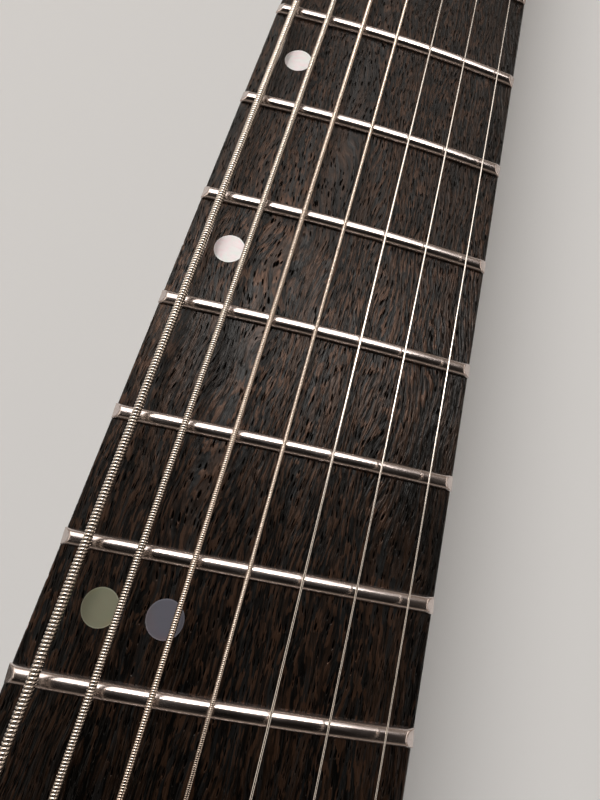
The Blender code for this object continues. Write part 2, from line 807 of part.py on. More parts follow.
def make_tuner_plate():
    """One rail under the headstock with a gear housing and a sleeve for each post."""
    low, high = -HOUSING_REACH, MESH_DISTANCE + WORM_RADIUS + CLEAR + HOUSING_WALL
    inner = -HOUSING_REACH
    first, last = POSTS[0], POSTS[-1]
    strip = [
        tuple(row_point(low - 0.003, inner - 0.001, first)),
        tuple(row_point(high + 0.003, inner - 0.001, last)),
        tuple(row_point(high + 0.003, HOUSING_OUT, last)),
        tuple(row_point(low - 0.003, HOUSING_OUT, first)),
    ]
    top = HEAD_BACK - CLEAR
    rail = prism_mesh("tuner_plate", strip, top - STRIP_THICKNESS, top)
    plate = finish_object("tuner_plate", rail, "black_hardware")
    shape = bmesh.new()
    for post in POSTS:
        box = [
            row_point(low, inner, post),
            row_point(high, inner, post),
            row_point(high, HOUSING_OUT - 0.0005, post),
            row_point(low, HOUSING_OUT - 0.0005, post),
        ]
        floor = CHAMBER_TOP - HOUSING_HEIGHT
        add_loft(shape, [[(p.x, p.y, z) for p in box] for z in (floor, top - STRIP_THICKNESS / 2)])
    combine(plate, tool("housings", as_mesh("housings", shape)), "UNION")
    shape = bmesh.new()
    for post in POSTS:
        centre = row_point(MESH_DISTANCE, 0, post)
        place = facing((centre.x, centre.y, KEY_Z), (KEY_DIRECTION.x, KEY_DIRECTION.y, 0))
        bore = plain_cylinder(WORM_RADIUS + CLEAR, -WORM_REACH - CLEAR, HOUSING_OUT + 0.01)
        add_lathe(shape, bore, place, 12)
    combine(plate, tool("worm_bores", as_mesh("worm_bores", shape)), "DIFFERENCE")
    sleeve_top = HEAD_FACE + SLEEVE_RISE
    shape = bmesh.new()
    for post in POSTS:
        sleeve = plain_cylinder(SLEEVE_RADIUS, top - STRIP_THICKNESS / 4, sleeve_top)
        add_lathe(shape, sleeve, upright(post.x, post.y), 14)
    combine(plate, tool("sleeves", as_mesh("sleeves", shape)), "UNION")
    chamber_low = CHAMBER_TOP - CHAMBER_HEIGHT
    hollow = [
        (0, chamber_low),
        (GEAR_RADIUS + CLEAR, chamber_low),
        (GEAR_RADIUS + CLEAR, CHAMBER_TOP),
        (POST_RADIUS + CLEAR, CHAMBER_TOP),
        (POST_RADIUS + CLEAR, sleeve_top + 0.01),
        (0, sleeve_top + 0.01),
    ]
    shape = bmesh.new()
    for post in POSTS:
        add_lathe(shape, hollow, upright(post.x, post.y), 12)
    combine(plate, tool("post_bores", as_mesh("post_bores", shape)), "DIFFERENCE")
    return plate


def make_post(index):
    """Tuner post with its gear at the foot, turning about its own axis."""
    post = POSTS[index]
    sides = GEAR_TEETH
    gear_low = CHAMBER_TOP - CHAMBER_HEIGHT + CLEAR
    gear_high = gear_low + GEAR_THICKNESS
    wind_low = HEAD_FACE + WIND_HEIGHT - 0.002
    wind_high = HEAD_FACE + POST_RISE - 0.005
    top = HEAD_FACE + POST_RISE
    profile = [
        (POST_RADIUS, gear_high),
        (POST_RADIUS, wind_low),
        (POST_WAIST, wind_low + 0.0008),
        (POST_WAIST, wind_high),
        (POST_RADIUS, wind_high + 0.0008),
        (POST_RADIUS - 0.0004, top),
    ]
    shape = bmesh.new()
    round_rings = []
    for radius, height in profile:
        ring = []
        for i in range(sides):
            angle = 2 * math.pi * i / sides
            ring.append(shape.verts.new((radius * math.cos(angle), radius * math.sin(angle), height)))
        round_rings.append(ring)
    for low, high in zip(round_rings, round_rings[1:]):
        for i in range(sides):
            j = (i + 1) % sides
            shape.faces.new((low[i], low[j], high[j], high[i]))
    shape.faces.new(round_rings[-1])
    toothed = []
    for height in (gear_low, gear_high):
        ring = []
        for i in range(2 * sides):
            angle = 2 * math.pi * (i - 0.5) / (2 * sides)
            radius = GEAR_RADIUS if i < 0 or i % 4 in (0, 1) else GEAR_RADIUS - 0.0008
            ring.append(shape.verts.new((radius * math.cos(angle), radius * math.sin(angle), height)))
        toothed.append(ring)
    shape.faces.new(toothed[0])
    for i in range(2 * sides):
        j = (i + 1) % (2 * sides)
        shape.faces.new((toothed[0][i], toothed[0][j], toothed[1][j], toothed[1][i]))
    for i in range(sides):
        j = (i + 1) % sides
        a, b = toothed[1][2 * i], toothed[1][2 * i + 1]
        c = toothed[1][(2 * i + 2) % (2 * sides)]
        shape.faces.new((round_rings[0][i], a, b))
        shape.faces.new((round_rings[0][i], b, c, round_rings[0][j]))
    name = f"tuner_post_{index + 1}"
    thing = finish_object(name, as_mesh(name, shape), "post_steel", smooth=True)
    thing.location = (post.x, post.y, 0)
    return thing


def key_rings():
    """Rings of a tuner key as (distance out, half height, half width)."""
    rings = []
    worm_from, ribs, rib = -WORM_REACH, 3, WORM_REACH * 2 / 3
    for i in range(ribs):
        start = worm_from + rib * i
        rings += [(start, WORM_RADIUS, WORM_RADIUS), (start + rib * 0.5, WORM_RADIUS * 0.75, WORM_RADIUS * 0.75)]
    wall = HOUSING_OUT + CLEAR
    rings += [
        (worm_from + rib * ribs, WORM_RADIUS, WORM_RADIUS),
        (wall, WORM_RADIUS, WORM_RADIUS),
        (wall, 0.0032, 0.0032),
        (wall + 0.0014, 0.0032, 0.0032),
        (wall + 0.0018, 0.0018, 0.0018),
    ]
    start = HEAD_EDGE + KEY_NECK
    tall, flat = BUTTON_WIDTH / 2, BUTTON_THICKNESS / 2
    for share, height, width in (
        (0.00, 0.22, 0.5),
        (0.14, 0.72, 0.86),
        (0.38, 0.98, 1.0),
        (0.68, 0.97, 0.96),
        (0.90, 0.78, 0.76),
        (1.00, 0.48, 0.40),
    ):
        rings.append((start + BUTTON_LENGTH * share, tall * height, flat * width))
    return rings


def make_key(index):
    """Tuner key: worm, shaft and button in one, turning about the shaft."""
    centre = row_point(MESH_DISTANCE, 0, POSTS[index])
    sides = 10
    rings = []
    for out, tall, flat in key_rings():
        ring = []
        for i in range(sides):
            angle = 2 * math.pi * i / sides
            along_row = ROW_DIRECTION * (flat * math.cos(angle))
            outwards = KEY_DIRECTION * out
            ring.append((along_row.x + outwards.x, along_row.y + outwards.y, tall * math.sin(angle)))
        rings.append(ring)
    name = f"tuner_key_{index + 1}"
    thing = finish_object(name, loft_mesh(name, rings), "black_hardware", smooth=True)
    thing.location = (centre.x, centre.y, KEY_Z)
    return thing


def string_route(index):
    """Centre points of a string from its ball end over the saddle and nut to its post."""
    diameter = STRING_DIAMETERS[index]
    saddle = string_point(index, 1)
    nut = string_point(index, 0)
    lie = PLATE_TOP + CLEAR + BALL_RADIUS
    back = Vector((0, -1, 0))
    ball_end = WALL_FROM + WALL_THICKNESS + CLEAR
    points = []
    for behind, radius in (
        (ball_end + BALL_LENGTH + diameter, 0.5),
        (ball_end + BALL_LENGTH, 2 * BALL_RADIUS / diameter),
        (ball_end + 0.0004, 2 * BALL_RADIUS / diameter),
        (ball_end, 1.0),
        (WALL_FROM, 1.0),
    ):
        spot = saddle + back * behind
        points.append(((spot.x, spot.y, lie), radius))
    points.append((tuple(saddle), 1.0))
    points.append((tuple(saddle.lerp(nut, 0.5)), 1.0))
    lead = (nut - saddle).normalized()
    points.append((tuple(nut), 1.0))
    post = POSTS[index]
    reach = wind_radius(index)
    height = HEAD_FACE + WIND_HEIGHT
    rise = diameter + WIND_GAP
    flat_run = lead.to_2d().normalized()
    points.append((tuple(nut + Vector((*(flat_run * NUT_THICKNESS), 0))), 1.0))
    start_angle = math.atan2(-flat_run.x, flat_run.y)
    steps = 24
    for i in range(int(WIND_TURNS * steps) + 1):
        angle = start_angle + 2 * math.pi * i / steps
        climb = rise * i / steps
        spot = (post.x + reach * math.cos(angle), post.y + reach * math.sin(angle), height + climb)
        points.append((spot, 1.0))
    last = Vector(points[-1][0])
    ahead = (last - Vector(points[-2][0])).normalized()
    points.append((tuple(last + ahead * diameter), 1.0))
    return points


def wind_gap(points, index):
    """Least gap between a winding's neighbouring turns."""
    diameter = STRING_DIAMETERS[index]
    turns = [np.array(spot) for spot, _ in points[-int(WIND_TURNS * 24) - 2:]]
    least = math.inf
    for i, a in enumerate(turns):
        for b in turns[i + 12:]:
            least = min(least, float(np.linalg.norm(a - b)) - diameter)
    return least


def make_string(index):
    """One string as a tube along its whole route."""
    points = string_route(index)
    name = f"string_{index + 1}"
    curve = bpy.data.curves.new(name, "CURVE")
    curve.dimensions = "3D"
    curve.bevel_depth = STRING_DIAMETERS[index] / 2
    curve.bevel_resolution = 1
    curve.use_fill_caps = True
    spline = curve.splines.new("POLY")
    spline.points.add(len(points) - 1)
    for target, (spot, radius) in zip(spline.points, points):
        target.co = (*spot, 1)
        target.radius = radius
    thing = bpy.data.objects.new(name, curve)
    bpy.context.scene.collection.objects.link(thing)
    colour, roughness, metallic = FINISHES["string_steel"]
    curve.materials.append(make_material(name + "_finish", colour, roughness, metallic))
    print(name, "least gap in its winding:", round(wind_gap(points, index) * 1000, 3), "mm")
    return thing


def bridge_spot(x, behind, z):
    """A point in the bridge's slanted plan."""
    return (x, fan_y(x, 1) - behind, z)


def make_bridge():
    """Fixed bridge: a slanted plate with a saddle for each string and a rear wall."""
    half = BRIDGE_HALF_WIDTH
    low, high = BODY_THICKNESS + CLEAR, PLATE_TOP
    rings = []
    for z in (low, high):
        rings.append([
            bridge_spot(-half, BRIDGE_BACK, z),
            bridge_spot(half, BRIDGE_BACK, z),
            bridge_spot(half, -BRIDGE_FRONT, z),
            bridge_spot(-half, -BRIDGE_FRONT, z),
        ])
    bridge = finish_object("bridge", loft_mesh("bridge", rings), "black_hardware")
    shape = bmesh.new()
    sink = PLATE_TOP - BRIDGE_PLATE / 2
    for index, diameter in enumerate(STRING_DIAMETERS):
        centre = string_point(index, 1)
        crest = centre.z - diameter / 2 - CLEAR
        drop = (crest - PLATE_TOP) * 0.55
        profile = [
            (-SADDLE_FRONT, sink),
            (-SADDLE_FRONT, PLATE_TOP + 0.004),
            (-0.0025, crest - 0.0005),
            (-0.0010, crest - 0.0001),
            (0.0005, crest - 0.0004),
            (SADDLE_BACK, crest - drop - 0.002),
            (SADDLE_BACK, sink),
        ]
        sides = (centre.x - SADDLE_WIDTH / 2, centre.x + SADDLE_WIDTH / 2)
        slant = fan_y(centre.x, 1)
        add_loft(shape, [[(x, slant - b, z) for b, z in profile] for x in sides])
    profile = [(-half + 0.001, sink), (-half + 0.001, PLATE_TOP + WALL_HEIGHT)]
    lie = PLATE_TOP + CLEAR + BALL_RADIUS
    for index, diameter in enumerate(STRING_DIAMETERS):
        x = string_point(index, 1).x
        gap = diameter / 2 + 2 * CLEAR
        floor = lie - gap
        profile += [
            (x - gap, PLATE_TOP + WALL_HEIGHT),
            (x - gap, floor),
            (x + gap, floor),
            (x + gap, PLATE_TOP + WALL_HEIGHT),
        ]
    profile += [(half - 0.001, PLATE_TOP + WALL_HEIGHT), (half - 0.001, sink)]
    wall_to = WALL_FROM + WALL_THICKNESS
    add_loft(shape, [[bridge_spot(x, b, z) for x, z in profile] for b in (WALL_FROM, wall_to)])
    combine(bridge, tool("saddles", as_mesh("saddles", shape)), "UNION")
    return bridge


def pickup_shares():
    """Share of the scale at each pickup's middle."""
    neck_along = HEEL_END + NECK_PICKUP_GAP + PICKUP_WIDTH / 2 + 0.003
    bridge_along = MEAN_SCALE - BRIDGE_FRONT - BRIDGE_PICKUP_GAP - PICKUP_WIDTH / 2
    return {"neck_pickup": neck_along / MEAN_SCALE, "bridge_pickup": bridge_along / MEAN_SCALE}


def pickup_outline(share, extra):
    """Outline of a pickup, slanted like the frets near it."""
    shape = rounded_rectangle(PICKUP_LENGTH + 2 * extra, PICKUP_WIDTH + 2 * extra, PICKUP_CORNER + extra)
    return placed(shape, 0, fan_y(0, share), math.atan(fan_slope(share)))


def make_pickup(name, share):
    """A pickup in its plain cover, standing in its own pocket."""
    low = BODY_THICKNESS - PICKUP_DEPTH + CLEAR
    high = BODY_THICKNESS + PICKUP_TOP
    outer = pickup_outline(share, 0)
    inner = pickup_outline(share, -PICKUP_EDGE)
    rings = [
        [(x, y, low) for x, y in outer],
        [(x, y, high - PICKUP_EDGE) for x, y in outer],
        [(x, y, high) for x, y in inner],
    ]
    return finish_object(name, loft_mesh(name, rings), "pickup_plastic", smooth=True)


def cavity_outline(extra):
    """Outline of the control cavity, grown by extra."""
    width, length = CAVITY_SIZE
    shape = rounded_rectangle(width + 2 * extra, length + 2 * extra, CAVITY_CORNER + extra)
    return placed(shape, CAVITY_CENTRE[0], NUT_Y - CAVITY_CENTRE[1])


def cavity_cutter():
    """Cutter for the control cavity, open at the back."""
    return prism_mesh("cavity_cut", cavity_outline(0), -0.01, BODY_THICKNESS - CAVITY_ROOF)


def control_holes():
    """Cutters for the knob and switch holes in the body's top."""
    shape = bmesh.new()
    low, high = BODY_THICKNESS - CAVITY_ROOF - 0.002, BODY_THICKNESS + 0.01
    spots = (
        (VOLUME_PLACE, BUSH_RADIUS),
        (TONE_PLACE, BUSH_RADIUS),
        (SWITCH_PLACE, SWITCH_BUSH),
    )
    for (x, along), radius in spots:
        add_lathe(shape, plain_cylinder(radius + CLEAR, low, high), upright(x, NUT_Y - along), 20)
    return as_mesh("control_holes", shape)


def make_control_board():
    """Plate in the cavity that carries both controls and the switch with their bushes."""
    top = BODY_THICKNESS - CAVITY_ROOF - CLEAR
    low = top - POT_HEIGHT - BOARD_PLATE
    xs = (VOLUME_PLACE[0] - POT_RADIUS - 0.002, SWITCH_PLACE[0] + SWITCH_BUSH + 0.002)
    alongs = (VOLUME_PLACE[1] - POT_RADIUS - 0.001, TONE_PLACE[1] + POT_RADIUS + 0.002)
    ys = [NUT_Y - along for along in alongs]
    outline = [(xs[0], ys[1]), (xs[1], ys[1]), (xs[1], ys[0]), (xs[0], ys[0])]
    plate = finish_object(
        "control_board",
        prism_mesh("control_board", outline, low, low + BOARD_PLATE),
        "circuit_plate",
    )
    seat = low + BOARD_PLATE / 2
    shape = bmesh.new()
    for x, along in (VOLUME_PLACE, TONE_PLACE):
        bore_low = low + BOARD_PLATE + 0.001
        rise = BODY_THICKNESS + BUSH_RISE
        bore = SHAFT_RADIUS + CLEAR
        profile = [
            (0, seat),
            (POT_RADIUS, seat),
            (POT_RADIUS, top),
            (BUSH_RADIUS, top),
            (BUSH_RADIUS, rise),
            (bore, rise),
            (bore, bore_low),
            (0, bore_low),
        ]
        add_lathe(shape, profile, upright(x, NUT_Y - along), 14)
    x, along = SWITCH_PLACE
    socket = LEVER_BALL + CLEAR
    floor = switch_pivot_z() - LEVER_BALL - CLEAR
    rise = BODY_THICKNESS + SWITCH_RISE
    profile = [
        (0, seat),
        (SWITCH_BUSH + 0.001, seat),
        (SWITCH_BUSH + 0.001, top),
        (SWITCH_BUSH, top),
        (SWITCH_BUSH, rise),
        (socket, rise),
        (socket, floor),
        (0, floor),
    ]
    add_lathe(shape, profile, upright(x, NUT_Y - along), 14)
    combine(plate, tool("control_bodies", as_mesh("control_bodies", shape)), "UNION")
    return plate


def switch_pivot_z():
    """Height of the switch lever's pivot."""
    return BODY_THICKNESS + 0.0002


def make_knob(name, place):
    """Knob with its shaft, hollow underneath to clear the bush."""
    x, along = place
    base = BODY_THICKNESS + KNOB_LIFT
    hollow = BODY_THICKNESS + BUSH_RISE + 0.0012
    shaft_low = BODY_THICKNESS - CAVITY_ROOF - CLEAR - POT_HEIGHT + 0.001 + CLEAR
    top = base + KNOB_HEIGHT
    profile = [
        (0, shaft_low),
        (SHAFT_RADIUS, shaft_low),
        (SHAFT_RADIUS, hollow),
        (KNOB_RADIUS - 0.0028, hollow),
        (KNOB_RADIUS - 0.0028, base),
        (KNOB_RADIUS, base),
        (KNOB_RADIUS - 0.0006, top - 0.0012),
        (KNOB_RADIUS - 0.0018, top),
        (0, top),
    ]
    centre = (x, NUT_Y - along, 0)
    mesh = lathe_mesh(name, profile, Matrix.Identity(4), 20)
    thing = finish_object(name, mesh, "black_hardware", smooth=True)
    thing.location = centre
    return thing


def make_lever():
    """Switch lever with a ball at its pivot and a rounded tip."""
    x, along = SWITCH_PLACE
    reach = LEVER_LENGTH
    profile = [(0, -LEVER_BALL)]
    for degrees in (-55, -20, 15, 45):
        angle = math.radians(degrees)
        profile.append((LEVER_BALL * math.cos(angle), LEVER_BALL * math.sin(angle)))
    profile += [
        (LEVER_RADIUS, LEVER_BALL * 0.95),
        (LEVER_RADIUS, reach - 0.009),
        (LEVER_TIP * 0.8, reach - 0.0082),
        (LEVER_TIP, reach - 0.003),
        (LEVER_TIP * 0.8, reach - 0.0008),
        (LEVER_TIP * 0.35, reach),
        (0, reach),
    ]
    mesh = lathe_mesh("selector_lever", profile, Matrix.Identity(4), 12)
    thing = finish_object("selector_lever", mesh, "black_hardware", smooth=True)
    thing.location = (x, NUT_Y - along, switch_pivot_z())
    return thing


def make_cover():
    """Plate over the control cavity, flush with the body's back."""
    mesh = prism_mesh("control_cover", cavity_outline(COVER_LIP), CLEAR, CLEAR + COVER_THICKNESS)
    return finish_object("control_cover", mesh, "cover_plastic")


def jack_place():
    """Where the jack's axis leaves the body's edge, pointing out."""
    return facing((BODY_HALF_WIDTH, NUT_Y - BODY_END + WIDEST_ALONG, BODY_THICKNESS / 2), (1, 0, 0))


def jack_cutter():
    """Cutter for the jack's round recess and its hole into the cavity."""
    recess = JACK_FLANGE + 2 * CLEAR
    hole = JACK_BARREL + CLEAR
    depth = BODY_HALF_WIDTH - CAVITY_CENTRE[0] - CAVITY_SIZE[0] / 2 + 0.004
    profile = [
        (0, -depth),
        (hole, -depth),
        (hole, -JACK_RECESS),
        (recess, -JACK_RECESS),
        (recess, 0.01),
        (0, 0.01),
    ]
    return lathe_mesh("jack_cut", profile, jack_place(), 20)


def make_jack():
    """Jack socket: flange, barrel and bore in one."""
    seat = -JACK_RECESS + CLEAR
    face = seat + JACK_FLANGE_THICKNESS
    end = seat - JACK_LENGTH
    profile = [
        (0, end),
        (JACK_BARREL, end),
        (JACK_BARREL, seat),
        (JACK_FLANGE, seat),
        (JACK_FLANGE, face - 0.0005),
        (JACK_FLANGE - 0.0006, face),
        (JACK_BORE, face),
        (JACK_BORE, end + 0.002),
        (0, end + 0.002),
    ]
    return finish_object("output_jack", lathe_mesh("output_jack", profile, jack_place(), 20), "black_hardware")


def strap_places():
    """Placement of each strap button, its axis pointing out of the body's edge."""
    middle = BODY_THICKNESS / 2
    horn = min(BODY_POINTS, key=lambda point: point[1])
    return {
        "strap_button_end": facing((0, NUT_Y - BODY_END, middle), (0, -1, 0)),
        "strap_button_horn": facing((horn[0], NUT_Y - horn[1], middle), (0, 1, 0)),
    }


def strap_holes():
    """Cutters for the strap buttons' screws."""
    shape = bmesh.new()
    for place in strap_places().values():
        profile = plain_cylinder(STRAP_SCREW + CLEAR, -STRAP_SCREW_LENGTH - CLEAR, 0.01)
        add_lathe(shape, profile, place, 12)
    return as_mesh("strap_holes", shape)


def make_strap_button(name, place):
    """Strap button with its screw."""
    profile = [
        (0, -STRAP_SCREW_LENGTH),
        (STRAP_SCREW, -STRAP_SCREW_LENGTH + 0.002),
        (STRAP_SCREW, CLEAR),
        (STRAP_RADIUS * 0.72, CLEAR),
        (STRAP_RADIUS * 0.72, CLEAR + 0.0015),
        (STRAP_RADIUS * 0.5, CLEAR + 0.0035),
        (STRAP_RADIUS * 0.5, STRAP_LENGTH - 0.0045),
        (STRAP_RADIUS * 0.9, STRAP_LENGTH - 0.0022),
        (STRAP_RADIUS, STRAP_LENGTH - 0.0012),
        (STRAP_RADIUS * 0.94, CLEAR + STRAP_LENGTH),
        (0, CLEAR + STRAP_LENGTH),
    ]
    return finish_object(name, lathe_mesh(name, profile, place, 12), "black_hardware", smooth=True)


def build():
    """Make every piece of the guitar."""
    clear_scene()
    make_body()
    make_neck()
    make_fretboard()
    for number in range(1, FRET_COUNT + 1):
        make_fret(number)
    make_nut()
    make_truss_rod()
    make_tuner_plate()
    for index in range(STRING_COUNT):
        make_post(index)
        make_key(index)
        make_string(index)
    make_bridge()
    for name, share in pickup_shares().items():
        make_pickup(name, share)
    make_control_board()
    make_knob("volume_knob", VOLUME_PLACE)
    make_knob("tone_knob", TONE_PLACE)
    make_lever()
    make_cover()
    make_jack()
    for name, place in strap_places().items():
        make_strap_button(name, place)


build()
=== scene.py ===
"""Looks of a seven-string electric guitar with a fanned fretboard, lying on its back.

The frame holds every solid. X runs across the strings, with the treble side at plus X,
Y runs along the neck towards the headstock, and Z points out of the fretboard.
Distances are in metres.
"""

import math

import bmesh
import bpy
import numpy as np
from mathutils import Matrix, Vector


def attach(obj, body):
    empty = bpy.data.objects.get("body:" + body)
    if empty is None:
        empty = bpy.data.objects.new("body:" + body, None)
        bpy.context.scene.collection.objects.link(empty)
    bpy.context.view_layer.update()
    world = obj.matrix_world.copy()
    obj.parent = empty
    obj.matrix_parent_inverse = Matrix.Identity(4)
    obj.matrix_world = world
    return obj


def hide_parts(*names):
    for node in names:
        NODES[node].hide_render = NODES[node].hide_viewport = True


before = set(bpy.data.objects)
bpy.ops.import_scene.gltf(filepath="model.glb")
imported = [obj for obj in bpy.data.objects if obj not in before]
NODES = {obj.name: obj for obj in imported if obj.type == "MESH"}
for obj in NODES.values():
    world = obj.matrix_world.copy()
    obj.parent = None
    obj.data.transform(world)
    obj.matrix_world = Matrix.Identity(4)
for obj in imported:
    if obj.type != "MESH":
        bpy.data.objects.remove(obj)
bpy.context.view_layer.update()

# Sizes that the solids have too
BASS_SCALE = 0.6858
TREBLE_SCALE = 0.6477
SQUARE_FRET = 8
FRET_COUNT = 22
NUT_SPREAD = 0.0422
BRIDGE_SPREAD = 0.0600
STRING_DIAMETERS = (0.00157, 0.00127, 0.00104, 0.00076, 0.00043, 0.00034, 0.00028)
ACTION_NUT = 0.0004
ACTION_TWELFTH = 0.0018
CLEAR = 0.0003
NUT_WIDTH = 0.0503
TWELFTH_WIDTH = 0.0616
BOARD_RADIUS = 0.350
BOARD_THICKNESS = 0.0060
BOARD_OVERHANG = 0.0070
FRET_HEIGHT = 0.00125
FRET_WIDTH = 0.0027
NUT_THICKNESS = 0.0050
NUT_Y = 0.29765
BOARD_TOP = 0.0516
BODY_TOP = 0.0420
HEAD_FACE = 0.0415
PLATE_TOP = 0.0448
POST_RADIUS = 0.0030
WIND_HEIGHT = 0.0062
WIND_TURNS = 1.25
WIND_GAP = 0.00045
SLEEVE_RADIUS = 0.0047
KNOB_RADIUS = 0.0095
KNOB_HEIGHT = 0.0160
WALL_FROM = 0.0200
WALL_THICKNESS = 0.0035
BALL_RADIUS = 0.0018
BALL_LENGTH = 0.0030
POST_FIRST = Vector((-0.02486, 0.32965))
POST_LAST = Vector((0.01506, 0.47965))
VOLUME_PLACE = (0.0920, -0.36635)
TONE_PLACE = (0.1100, -0.40435)
SWITCH_PLACE = (0.1230, -0.36635)
KNOB_LIFT = 0.0008
SHAFT_RADIUS = 0.0030
SHAFT_FOOT = 0.0300
BUSH_RISE = 0.0034
SWITCH_BUSH = 0.0058
LEVER_PIVOT = 0.0422
LEVER_BALL = 0.0032
LEVER_RADIUS = 0.0014
LEVER_LENGTH = 0.0170
LEVER_TIP = 0.0028
POST_WAIST = 0.0026
POST_RISE = 0.0170
GEAR_RADIUS = 0.0042
GEAR_TEETH = 14
GEAR_FOOT = 0.0213
GEAR_TOP = 0.0247
WORM_RADIUS = 0.0020
WORM_REACH = 0.0050
MESH_DISTANCE = 0.0065
HOUSING_OUT = 0.0095
HEAD_EDGE = 0.0110
KEY_NECK = 0.0050
KEY_Z = 0.0230
BUTTON_LENGTH = 0.0140
BUTTON_WIDTH = 0.0190
BUTTON_THICKNESS = 0.0072
ROW_DIRECTION = (POST_LAST - POST_FIRST).normalized()
KEY_DIRECTION = Vector((-ROW_DIRECTION.y, ROW_DIRECTION.x))
SADDLE_BACK = 0.0130
COVER_CENTRE = (0.1040, -0.39235)
COVER_SIZE = (0.0780, 0.0980)
JACK_AXIS = (0.1650, -0.39235, 0.0210)
JACK_RECESS = 0.0030
STRAP_RADIUS = 0.0072
STRAP_LENGTH = 0.0130
STRAP_SCREW = 0.0018
STRAP_SCREW_LENGTH = 0.0180
STRAP_PLACES = {
    "strap_button_end": ((0, -0.49235, 0.0210), (0, -1, 0)),
    "strap_button_horn": ((-0.1300, -0.05635, 0.0210), (0, 1, 0)),
}

# Sizes that only the looks have: board, frets and dots
BOARD_EASE = 0.00055
BOARD_ROWS = 90
BOARD_COLUMNS = 41
EASE_STEPS = 6
FRET_SEAT = 0.00006
FRET_STEPS = 16
FRET_SQUARENESS = 0.86
FRET_CROWN = 0.92
FRET_FOOT = 0.98
END_FOOT = 0.00018
END_SLOPE = 0.72
END_CREASE = 26000
END_CUTS = (0.0, 0.0001, 0.0003, 0.0006, 0.0009, 0.0011, 0.0013, 0.0014, 0.0015, 0.0016, 0.0018, 0.0022)
END_REACH = 0.003
FRET_STATIONS = 15
DOT_RADIUS = 0.0030
DOT_RIM = 0.00018
DOT_RISE = 0.00003
DOT_DEPTH = 0.0006
DOT_SIDES = 48
# Painted highlight on the dots' rims: their colour is raised by this gain and lift
RIM_HIGHLIGHT_GAIN = 1.12
RIM_HIGHLIGHT_LIFT = 0.03
SIDE_DOT_RADIUS = 0.0011
SIDE_DOT_DROP = 0.0001
SIDE_DOT_STEP = 0.0054
SIDE_DOT_DEPTH = 0.001
SIDE_DOT_SIDES = 20

# Strings and their winding
RAMP_SHARES = (0.2, 0.4, 0.6, 0.75, 0.85, 0.93)
OPEN_STEPS = 60
RUN_STEPS = 12
TURN_STEPS = 48
WRAP_PITCHES = (0.00055, 0.00042, 0.00034, 0.00026)
WRAP_ROWS = (5, 4, 4, 4)
WRAP_SIDES = (12, 12, 9, 7)
WRAP_DEPTHS = (1.0, 0.9, 0.6, 0.45)
WRAP_CROWN = 0.56
VALLEY_SHARE = 0.12
SPARE_WRAPS = 3
THICK_WOUND = 2
PLAIN_SIDES = 12
WELD = 0.000001
BALL_EASE = 0.0005

# Hardware
FACE_LIFT = 0.00002
RING_PLAY = 0.0002
WASHER_RADIUS = 0.0070
WASHER_HEIGHT = 0.0006
POST_NUT = 0.0056
POST_NUT_HEIGHT = 0.0026
TOOTH_DEPTH = 0.0008
WAIST_BELOW_STRING = 0.002
WAIST_BELOW_TOP = 0.005
COLLAR_RADIUS = 0.0032
COLLAR_NECK = 0.0018
RIB_VALLEY = 0.75
KNURL = 0.0004
KNOB_WALL = 0.0028
KNOB_GAP = 0.0012
POINTER_SIZE = (0.0009, 0.0050, 0.0004)
POINTER_OUT = 0.0040
SWITCH_NUT = 0.0086
SWITCH_NUT_HEIGHT = 0.0024
TIP_HALF = 0.0040
SADDLE_SCREW = (0.0012, 0.0009)
SADDLE_SCREW_OUT = 0.0027
SADDLE_SCREW_BACK = 0.0062
SADDLE_CREST = 0.0005
SADDLE_FALL = 0.55
SADDLE_STEP = 0.0016
SADDLE_SCREW_SINK = 0.0005
BRIDGE_SCREW = (0.0026, 0.0013)
BRIDGE_SCREW_OUT = 0.0385
BRIDGE_SCREW_IN = 0.0050
BRIDGE_SCREW_AHEAD = 0.0045
COVER_SCREW = (0.0024, 0.0002)
COVER_SCREW_INSET = 0.0060
COVER_SCREW_SIDE = 0.0035
JACK_SCREW = (0.0019, 0.0005)
JACK_SCREW_OUT = 0.0087
JACK_PLATE = 0.0020
FERRULE = (0.0036, 0.0056, 0.0006)
STRAP_SOCKET = 0.0016
STRAP_SOCKET_DEPTH = 0.0018
METAL_FROM = 0.0018
COPY_WELD = 0.000002
COPY_FLAT = 0.5
COPY_EDGE = 40

# Camera over the twelfth fret, with its right and down directions
CAMERA_PLACE = (0.00125, -0.01112, 0.13499)
CAMERA_RIGHT = Vector((0.965, 0.2534, 0.0681)).normalized()
CAMERA_DOWN = Vector((0.2622, -0.9239, -0.2785))
LENS_LENGTH = 22.14
SENSOR_WIDTH = 36
NEAR_LIMIT = 0.005

# Light: warm white panels as (name, place, target, size, power, colour), and an even fill
PANELS = (
    ("key", (-0.45, 0.99, 1.41), (-0.1, 0.02, 0.05), (1.8, 1.2), 15.5, (1.0, 0.95, 0.91)),
    ("crown", (-0.15, 0.69, 1.64), (0, 0, 0.05), (1.1, 0.32), 12.0, (1.0, 0.95, 0.91)),
    ("bass_panel", (-1.35, 0.55, 1.0), (0, 0.55, 0.05), (2.9, 0.9), 9, (1.0, 0.90, 0.80)),
    ("treble_panel", (1.45, 0.62, 0.95), (0, 0.62, 0.05), (3.0, 0.7), 6, (1.0, 0.90, 0.82)),
)
FILL_POWER = 2.25
FILL_COLOUR = (1.0, 0.975, 0.95)
FILL_DIRECTION = (0.42, -0.38, -1)
FILL_SPREAD = 50
WORLD_COLOUR = (1.0, 0.82, 0.68)
FLOOR_REACH = 40.0

MEAN_SCALE = (BASS_SCALE + TREBLE_SCALE) / 2
HALF_FAN = (BASS_SCALE - TREBLE_SCALE) / 2
STRING_COUNT = len(STRING_DIAMETERS)

